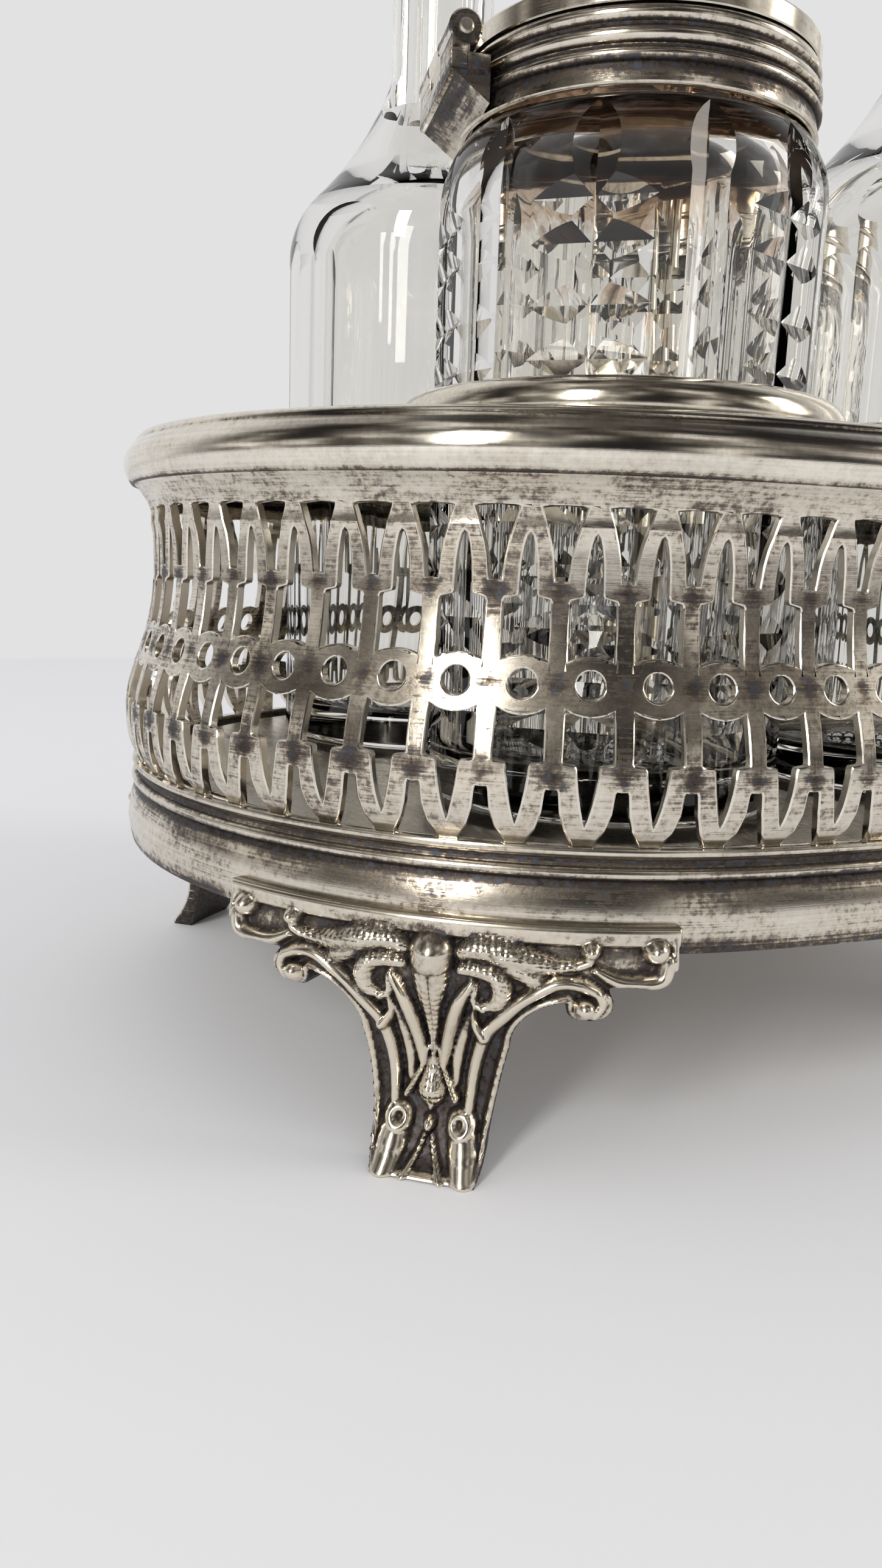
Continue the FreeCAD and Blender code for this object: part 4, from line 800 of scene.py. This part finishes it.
def prism(sections, centre, turn):
    """Closed solid through sections of (outward, across, height), turned round a vertical axis."""
    count = len(sections[0])
    c, s = math.cos(turn), math.sin(turn)
    verts = [(centre[0] + x * c - y * s, centre[1] + x * s + y * c, z)
             for section in sections for x, y, z in section]
    faces = [tuple(range(count)), tuple(range((len(sections) - 1) * count, len(sections) * count))]
    for k in range(len(sections) - 1):
        for j in range(count):
            i = (j + 1) % count
            faces.append((k * count + j, k * count + i, (k + 1) * count + i, (k + 1) * count + j))
    return verts, faces


def carved(solid, groups, name, body, material, nodes, sharp=14):
    """A solid cut by each group of tools in turn, then finished as a piece."""
    piece = finish_mesh(name, *solid, None, material)
    for group in groups:
        tool = finish_mesh(name + "_tool", *gathered(group), None, material)
        cut = piece.modifiers.new("cut", "BOOLEAN")
        cut.operation, cut.solver, cut.object = "DIFFERENCE", "EXACT", tool
        kept(piece)
        bpy.data.objects.remove(tool)
    piece.data.shade_smooth()
    piece.data.set_sharp_from_angle(angle=math.radians(sharp))
    return claimed(piece, body, nodes)


def flute(turn, centre, low, high):
    """Vertical V cut whose wheel lifts out at the top, leaving a pointed arch."""
    rise = ((0.0, low), (0.0, high), (0.3, high + 3.0), (0.7, high + 6.0), (1.0, high + 9.5))
    apexes = [(POT - FLUTE_DEPTH - lift, z) for lift, z in rise]
    return prism([[(apex, 0, z), (apex + 4, 4 * CUT_FLARE, z), (apex + 4, -4 * CUT_FLARE, z)]
                  for apex, z in apexes], centre, turn)


def mitre(turn, centre, level):
    """Horizontal V cut straight across the curve of the glass, which leaves a pointed oval."""
    apex = POT - CUT_DEPTH
    wide = 3 * CUT_FLARE
    return prism([[(apex, y, level), (apex + 3, y, level - wide), (apex + 3, y, level + wide)]
                  for y in (-9.5, 9.5)], centre, turn)


def pot_blank(centre):
    """The blown pot before cutting: heavy base, round shoulder, and a neck for the mount."""
    inner = POT - POT_WALL
    return spun([
        (0, GLASS_BOTTOM), (POT - 2.4, GLASS_BOTTOM),
        (POT - 0.6, GLASS_BOTTOM + 0.6, POT, GLASS_BOTTOM + 2.4),
        (POT, POT_SHOULDER), (POT - 0.9, POT_SHOULDER + 6.0, POT_NECK + 1.7, COLLAR_BOTTOM),
        (POT_NECK, COLLAR_BOTTOM + 1.9), (POT_NECK, POT_MOUTH - 0.3), (POT_NECK - 0.3, POT_MOUTH),
        (POT_NECK - 2.9, POT_MOUTH), (POT_NECK - 3.2, POT_MOUTH - 0.3), (POT_NECK - 3.2, COLLAR_BOTTOM - 1.0),
        (inner - 0.6, POT_SHOULDER + 4.5, inner, POT_SHOULDER - 2.0), (inner, GLASS_BOTTOM + 9.0),
        (inner - 1.2, GLASS_BOTTOM + 6.6, inner - 4.0, GLASS_BOTTOM + 6.0), (0, GLASS_BOTTOM + 6.0),
    ], centre, parts=144, arc_parts=10)


def cut_pot(name, centre, first, body, material, node):
    """Twelve flutes, and crossed mitre cuts on every second one."""
    flutes = [flute(first + k * math.pi / 6, centre, GLASS_BOTTOM + 3.0, POT_SHOULDER) for k in range(12)]
    levels = [116.3, 111.3, 104.4, 98.3] + [98.3 - 6.4 * k for k in range(1, 8)]
    mitres = [[mitre(first + (2 * k + 1) * math.pi / 6, centre, level) for k in range(6) for level in chosen]
              for chosen in (levels[::2], levels[1::2])]
    return carved(pot_blank(centre), [flutes] + mitres, name, body, material, [node])


mustard_centre, pepper_centre = STATIONS["front_left"], STATIONS["back_right"]
mustard_glass = crystal("lead crystal with mustard crust", (mustard_centre, POT - POT_WALL, 122.0))
clear_glass = crystal("lead crystal")
cut_pot("mustard_cut_pot", mustard_centre, math.radians(16), "mustard_pot", mustard_glass, "mustard_glass")
cut_pot("pepper_cut_pot", pepper_centre, math.radians(30), "pepper_pot", clear_glass, "pepper_glass")

# --- Mustard pot's mount and lid ---------------------------------------------------------------
# A flared band and three beads cemented on the neck, with a bracket for a three-knuckle hinge;
# a thick flat lid with a spoon notch and a turned knob, on a steel pin.
COLLAR, COLLAR_TOP, LID, LID_THICK = 23.4, 137.0, 23.2, 2.6
HINGE_PLACE, HINGE_OUT, HINGE_WIDTH, KNUCKLE = math.radians(165), 25.7, 21.0, 2.1
LID_BOTTOM = COLLAR_TOP + 0.2


def block(low, high, bevel=0.25):
    """Box with softened edges, as vertices and faces."""
    work = bmesh.new()
    bmesh.ops.create_cube(work, size=1.0)
    for v in work.verts:
        v.co = Vector([c * (b - a) + (a + b) / 2 for c, a, b in zip(v.co, low, high)])
    bmesh.ops.bevel(work, geom=work.edges[:], offset=bevel, segments=2, affect="EDGES", profile=0.5)
    work.verts.index_update()
    made = [tuple(v.co) for v in work.verts], [tuple(v.index for v in f.verts) for f in work.faces]
    work.free()
    return made


def barrel(start, end, radius, level):
    """Hinge knuckle or pin: a rod along the hinge, slightly rounded at its ends."""
    verts, faces = spun([(0, start), (radius - 0.25, start), (radius, start + 0.25), (radius, end - 0.25),
                         (radius - 0.25, end), (0, end)], parts=28)
    return [(HINGE_OUT + x, z, level + y) for x, y, z in verts], faces


def placed(part, centre, turn):
    """A part drawn with the hinge along +X, turned and moved to its pot."""
    c, s = math.cos(turn), math.sin(turn)
    return [(centre[0] + x * c - y * s, centre[1] + x * s + y * c, z) for x, y, z in part[0]], part[1]


collar_silver = silver_plate("silver plate, spun and worn", bright="#E9E3D6", dirt=0.62,
                             streak=(0.05, 0.05, 2.2), rough=0.17)
bore = POT_NECK + 0.15
half_hinge, knuckle_end = HINGE_WIDTH / 2, HINGE_WIDTH / 6
hinge_back, hinge_front = HINGE_OUT - 0.6, HINGE_OUT + 1.8
low, r = COLLAR_BOTTOM, COLLAR
# the bracket's shelf, its upright, two knuckles, the cheeks under them, and the rib below
hinge_side = [
    block((r - 0.9, -half_hinge, COLLAR_TOP - 4.6), (HINGE_OUT, half_hinge, COLLAR_TOP - 2.6)),
    block((hinge_back, -half_hinge, COLLAR_TOP - 5.0), (hinge_front, half_hinge, COLLAR_TOP - 2.45)),
    barrel(-half_hinge, -knuckle_end, KNUCKLE, COLLAR_TOP),
    barrel(knuckle_end, half_hinge, KNUCKLE, COLLAR_TOP),
    block((hinge_back, -half_hinge, COLLAR_TOP - 3.0), (hinge_front, -knuckle_end, COLLAR_TOP)),
    block((hinge_back, knuckle_end, COLLAR_TOP - 3.0), (hinge_front, half_hinge, COLLAR_TOP)),
    prism([[(r - 0.9, y, COLLAR_TOP - 4.5), (hinge_front, y, COLLAR_TOP - 4.5), (r - 0.9, y, low + 0.4)]
           for y in (-half_hinge, half_hinge)], (0, 0), 0.0),
]
mount_verts, mount_faces = gathered([spun([
    (r - 0.5, low), (r + 0.1, low, r + 0.3, low + 0.25), (r - 0.2, low + 2.3), (r - 0.25, low + 2.5),
    (r + 0.5, low + 3.15, r - 0.4, low + 3.8), (r - 0.5, low + 4.1), (r - 0.4, low + 4.4),
    (r + 0.4, low + 5.3, r - 0.4, low + 6.15), (r - 0.6, low + 6.4), (r - 0.5, low + 6.7),
    (r + 0.1, low + 7.6, r - 0.6, COLLAR_TOP), (bore, COLLAR_TOP), (bore, low + 2.1), (r - 0.5, low + 1.6),
], mustard_centre, 128, shift=0.0)] + [placed(part, mustard_centre, HINGE_PLACE) for part in hinge_side])
mount_dark = ((low + 2.4, 0.7, 0.9), (low + 4.1, 0.7, 1.0), (low + 6.4, 0.8, 1.0), (COLLAR_TOP, 0.5, 1.0))
finish_mesh("mustard_mount", mount_verts, mount_faces, "mustard_pot", collar_silver, ["mustard_collar"],
            sharp=32, recess=tarnished_and_painted_bands(mount_verts, mount_dark))

lid_top = LID_BOTTOM + LID_THICK
bezel = POT_NECK - 1.0
glass_top = POT_MOUTH + 0.3
lid_silver = silver_plate("silver plate, flat polished lid", bright="#ECE4D5", dirt=0.45,
                          streak=(0.05, 0.05, 1.5), rough=0.16)
lid_blank = spun([
    (0, LID_BOTTOM), (bezel - 1.0, LID_BOTTOM), (bezel - 1.0, glass_top), (bezel, glass_top),
    (bezel, LID_BOTTOM), (LID - 0.15, LID_BOTTOM), (LID, LID_BOTTOM + 0.15), (LID, lid_top - 0.4),
    (LID - 0.1, lid_top - 0.1, LID - 0.4, lid_top), (LID - 2.2, lid_top),
    (10.0, lid_top + 1.8, 3.2, lid_top + 3.2), (1.8, lid_top + 5.2),
    (3.3, lid_top + 7.6, 1.2, lid_top + 9.8), (0, lid_top + 9.8),
], mustard_centre, 128)
notch = prism([[(x, y, z) for x, y in circle(3.4, 32, -LID - 0.6)] for z in (LID_BOTTOM - 3, lid_top + 3)],
              mustard_centre, HINGE_PLACE)
carved(lid_blank, [[notch]], "mustard_lid_disc", "mustard_lid", lid_silver, ["mustard_lid"],
       sharp=30)
leaf_end = knuckle_end - 0.25
leaf = gathered([placed(part, mustard_centre, HINGE_PLACE) for part in (
    block((LID - 1.5, -leaf_end, LID_BOTTOM + 0.05), (HINGE_OUT, leaf_end, lid_top - 0.5)),
    barrel(-leaf_end, leaf_end, KNUCKLE, COLLAR_TOP))])
finish_mesh("mustard_lid_leaf", *leaf, "mustard_lid", lid_silver, sharp=32)
pin_steel = silver_plate("steel hinge pin", bright="#B9B5AE", dirt=0.7, streak=(0.5, 0.5, 0.5), rough=0.3)
pin = placed(barrel(-half_hinge - 0.5, half_hinge + 0.5, 0.9, COLLAR_TOP), mustard_centre, HINGE_PLACE)
finish_mesh("hinge_pin", *pin, "mustard_pot", pin_steel, ["mustard_hinge_pin"], slot="pin_steel")

# --- Oil and vinegar bottles -------------------------------------------------------------------
# Six flat panels cut on the body and six hollow ones on the slim neck, a turned-out lip with an
# inside ground for the plug, and a solid stopper cut with eight-sided rows of facets.
BOTTLE, BOTTLE_WALL, CORNER = 26.3, 3.6, 130.8
NECK, NECK_START, LIP_TOP, LIP, NECK_BORE = 9.0, 156.0, 192.0, 12.0, 5.6


def bottle_blank(centre):
    """The blown bottle before cutting: heavy base, round shoulder, slim neck and turned-out lip."""
    inner = BOTTLE - BOTTLE_WALL
    return spun([
        (0, GLASS_BOTTOM), (BOTTLE - 2.2, GLASS_BOTTOM),
        (BOTTLE - 0.6, GLASS_BOTTOM + 0.6, BOTTLE, GLASS_BOTTOM + 2.2),
        (BOTTLE, CORNER - 7.0), (BOTTLE - 1.0, CORNER + 0.4, BOTTLE - 4.6, CORNER + 5.4),
        (NECK + 4.6, CORNER + 15.8, NECK, NECK_START),
        (NECK, LIP_TOP - 6.0), (LIP - 0.6, LIP_TOP - 2.4, LIP, LIP_TOP - 1.0),
        (LIP - 0.2, LIP_TOP - 0.2, LIP - 1.0, LIP_TOP),
        (NECK_BORE + 0.4, LIP_TOP), (NECK_BORE, LIP_TOP - 0.5), (NECK_BORE, NECK_START),
        (NECK_BORE + 3.6, CORNER + 13.0, inner - 3.6, CORNER + 2.6),
        (inner - 0.9, CORNER - 1.6, inner, CORNER - 7.0),
        (inner, GLASS_BOTTOM + 8.0),
        (inner - 1.0, GLASS_BOTTOM + 6.0, inner - 3.0, GLASS_BOTTOM + 5.6), (0, GLASS_BOTTOM + 5.6),
    ], centre, parts=120, arc_parts=14)


def cut_bottle(name, centre, node):
    """Flat panels round the body, then hollow ones up the neck."""
    turns = [math.radians(30) + k * math.pi / 3 for k in range(6)]
    flat = ((BOTTLE - 1.0, -9.5), (BOTTLE + 7, -9.5), (BOTTLE + 7, 9.5), (BOTTLE - 1.0, 9.5))
    groups = [[prism([[(x, y, z) for x, y in shape] for z in heights], centre, turn) for turn in turns]
              for shape, heights in ((flat, (GLASS_BOTTOM + 5.0, CORNER + 6.0)),
                                     (circle(6, 24, NECK + 5.2), (NECK_START - 6, LIP_TOP - 8.0)))]
    carved(bottle_blank(centre), groups, name, node, clear_glass, [node], sharp=12)


def cut_stopper(name, centre, node):
    """An eight-sided ball with its facets in rows, on a collar and a plug."""
    z, plug = LIP_TOP, NECK_BORE - 0.3
    ball = spun([(0, z + 3.6), (4.6, z + 5.0), (12.0, z + 12.2), (12.2, z + 16.8), (8.6, z + 22.4),
                 (4.0, z + 27.0), (0, z + 27.0)], centre, parts=8)
    stem = spun([(0, z - 18.0), (plug - 0.5, z - 18.0), (plug, z - 16.5), (plug, z + 0.3),
                 (plug + 3.2, z + 0.3), (plug + 3.6, z + 1.3, plug + 3.2, z + 2.2),
                 (4.3, z + 3.4, 4.4, z + 5.4), (0, z + 5.4)], centre)
    finish_mesh(name, *gathered([ball, stem]), node, clear_glass, [node], slot="cut_glass", sharp=15)


for word, place in (("oil", "back_left"), ("vinegar", "front_right")):
    cut_bottle(word + "_cut_bottle", STATIONS[place], word + "_bottle")
    cut_stopper(word + "_cut_stopper", STATIONS[place], word + "_stopper")

# --- Pepper caster's mount and cap -------------------------------------------------------------
# A plain silver mount with one bead; the domed cap pulls off it, pierced with two rings of holes,
# with a bead round its edge and a turned finial.
caster_silver = silver_plate("silver plate, spun dome", bright="#EBE4D5", dirt=0.4,
                             streak=(0.06, 0.06, 1.2), rough=0.15)
pepper_mount = spun([
    (r - 0.5, low), (r + 0.3, low), (r - 0.1, low + 2.0), (r + 0.5, low + 2.8, r - 0.1, low + 3.6),
    (bore + 0.9, low + 3.6), (bore + 0.9, POT_MOUTH), (bore, POT_MOUTH), (bore, low + 2.1),
    (r - 0.5, low + 1.6),
], pepper_centre, 128, shift=0.0)
finish_mesh("pepper_mount", *pepper_mount, "pepper_pot", caster_silver, ["pepper_collar"], sharp=32,
            recess=tarnished_and_painted_bands(pepper_mount[0], ((low + 2.0, 0.6, 0.9), (low + 3.6, 0.5, 1.0))))
low = COLLAR_BOTTOM + 3.7
wall = bore + 1.2
cap_blank = spun([
    (0, low + 24.4), (4.0, low + 24.4), (r - 10.0, low + 19.4), (r - 4.6, low + 14.4, r - 1.9, low + 7.2),
    (wall, low + 6.0), (wall, low), (r, low), (r, low + 4.8), (r + 0.6, low + 5.8, r - 0.4, low + 6.8),
    (r - 3.2, low + 15.0, r - 9.4, low + 20.6), (4.0, low + 25.6), (2.0, low + 27.6),
    (3.6, low + 30.2, 1.2, low + 32.8), (0, low + 32.8),
], pepper_centre, 96, 12)
holes = []
for radius, count in ((6.6, 6), (11.0, 10)):
    for x, y in circle(radius, count):
        holes.append(prism([[(u, v, z) for u, v in circle(0.8, 16)] for z in (low + 10, low + 40)],
                           (pepper_centre[0] + x, pepper_centre[1] + y), 0.0))
carved(cap_blank, [holes], "pepper_dome", "pepper_cap", caster_silver, ["pepper_cap"],
       sharp=30)

# --- Floor, light and camera -------------------------------------------------------------------
# A pale table that fades into a plain pale wall, one large soft window light from the front left,
# a weaker one from the right, and a low camera close to the stand's front left corner.
WALL = "#E2E2E3"
heading = Vector((0.4472, 0.8944, 0.0)).normalized()


def seen_directly(tree, ray):
    """1 where a surface is seen by the camera or through glass."""
    return add_node(tree, "ShaderNodeMath", {0: ray["Is Camera Ray"], 1: ray["Is Transmission Ray"]},
                    operation="MAXIMUM")


world = bpy.data.worlds.new("pale studio")
bpy.context.scene.world = world
world.use_nodes = True
sky = world.node_tree
ray = add_node(sky, "ShaderNodeLightPath").outputs
# the room that the silver mirrors: a pale wall behind the stand, dark and bright things in front
where = add_node(sky, "ShaderNodeTexCoord").outputs["Generated"]
facing = add_node(sky, "ShaderNodeVectorMath", {0: where, 1: heading}, operation="DOT_PRODUCT")
behind = add_node(sky, "ShaderNodeMapRange", {0: facing.outputs["Value"], 1: 0.05, 2: 0.45})
clutter = add_node(sky, "ShaderNodeTexNoise",
                   {"Vector": where, "Scale": 1.9, "Detail": 3.0, "Roughness": 0.6})
front = add_node(sky, "ShaderNodeValToRGB", {"Fac": clutter},
                 [(0.42, "#131214"), (0.49, "#383431"), (0.55, "#7D7872"), (0.63, "#F4F2EE")])
walls = add_node(sky, "ShaderNodeMix", {"Factor": behind, "A": front, "B": srgb(WALL)}, data_type="RGBA")
mirrored_room, soft, shown = [
    add_node(sky, "ShaderNodeBackground", {"Color": colour, "Strength": strength})
    for colour, strength in ((walls.outputs["Result"], 1.0), (srgb("#F4F5F8"), 0.80), (srgb(WALL), 1.0))]
lit = add_node(sky, "ShaderNodeMixShader", {0: ray["Is Glossy Ray"], 1: soft, 2: mirrored_room})
blend = add_node(sky, "ShaderNodeMixShader", {0: seen_directly(sky, ray), 1: lit, 2: shown})
sky.links.new(blend.outputs[0], sky.nodes["World Output"].inputs["Surface"])

table, tree, shader = new_material("matt pale table")
shader.inputs["Base Color"].default_value = srgb("#E6E6E8")
shader.inputs["Roughness"].default_value = 0.8
spot = add_node(tree, "ShaderNodeTexCoord").outputs["Object"]
away = add_node(tree, "ShaderNodeVectorMath", {0: spot}, operation="LENGTH").outputs["Value"]
fade = add_node(tree, "ShaderNodeMapRange", {0: away, 1: 0.62, 2: 0.66}, interpolation_type="SMOOTHSTEP")
direct = seen_directly(tree, add_node(tree, "ShaderNodeLightPath").outputs)
far = add_node(tree, "ShaderNodeMath", {0: direct, 1: fade}, operation="MULTIPLY")
glow = add_node(tree, "ShaderNodeEmission", {"Color": srgb(WALL), "Strength": 1.0})
both = add_node(tree, "ShaderNodeMixShader", {0: far, 1: shader, 2: glow})
tree.links.new(both.outputs[0], tree.nodes["Material Output"].inputs["Surface"])
table_top = bpy.data.meshes.new("table_top")
table_top.from_pydata([(x, y, 0) for x, y in circle(4, 64)], [], [list(range(64))])
table_top.materials.append(table)
linked("table_top", table_top)


def window_light(name, place, aim, size, power, colour):
    """A soft rectangular light at a place, turned to what it lights."""
    light = bpy.data.lights.new(name, "AREA")
    light.shape = "RECTANGLE"
    light.size, light.size_y = size
    light.energy = power
    light.color = srgb(colour)[:3]
    holder = linked(name, light)
    holder.location = place
    holder.rotation_euler = (Vector(aim) - Vector(place)).to_track_quat("-Z", "Y").to_euler()


window_light("window", (-2.35, -1.73, 1.5), (0, 0, 0.08), (0.5, 1.9), 52.0, "#FFFDF8")
window_light("room", (2.2, -1.3, 1.2), (0, 0, 0.05), (0.7, 1.6), 16.0, "#FFF8EC")

eye = bpy.data.cameras.new("camera")
eye.sensor_fit = "HORIZONTAL"
eye.sensor_width = 36.0
eye.lens = 45.81
eye.clip_start = 0.005
holder = linked("camera", eye)
pitch, lean = math.radians(11.17), math.radians(2.09)
forward = heading * math.cos(pitch) - Vector((0, 0, 1)) * math.sin(pitch)
right = heading.cross(Vector((0, 0, 1)))
up = right.cross(forward)
tilted_right = right * math.cos(lean) + up * math.sin(lean)
tilted_up = up * math.cos(lean) - right * math.sin(lean)
turn = Matrix((tilted_right, tilted_up, -forward)).transposed()
holder.matrix_world = Matrix.Translation((-0.12458, -0.16765, 0.07398)) @ turn.to_4x4()
bpy.context.scene.camera = holder
bpy.context.scene.view_settings.view_transform = "Standard"
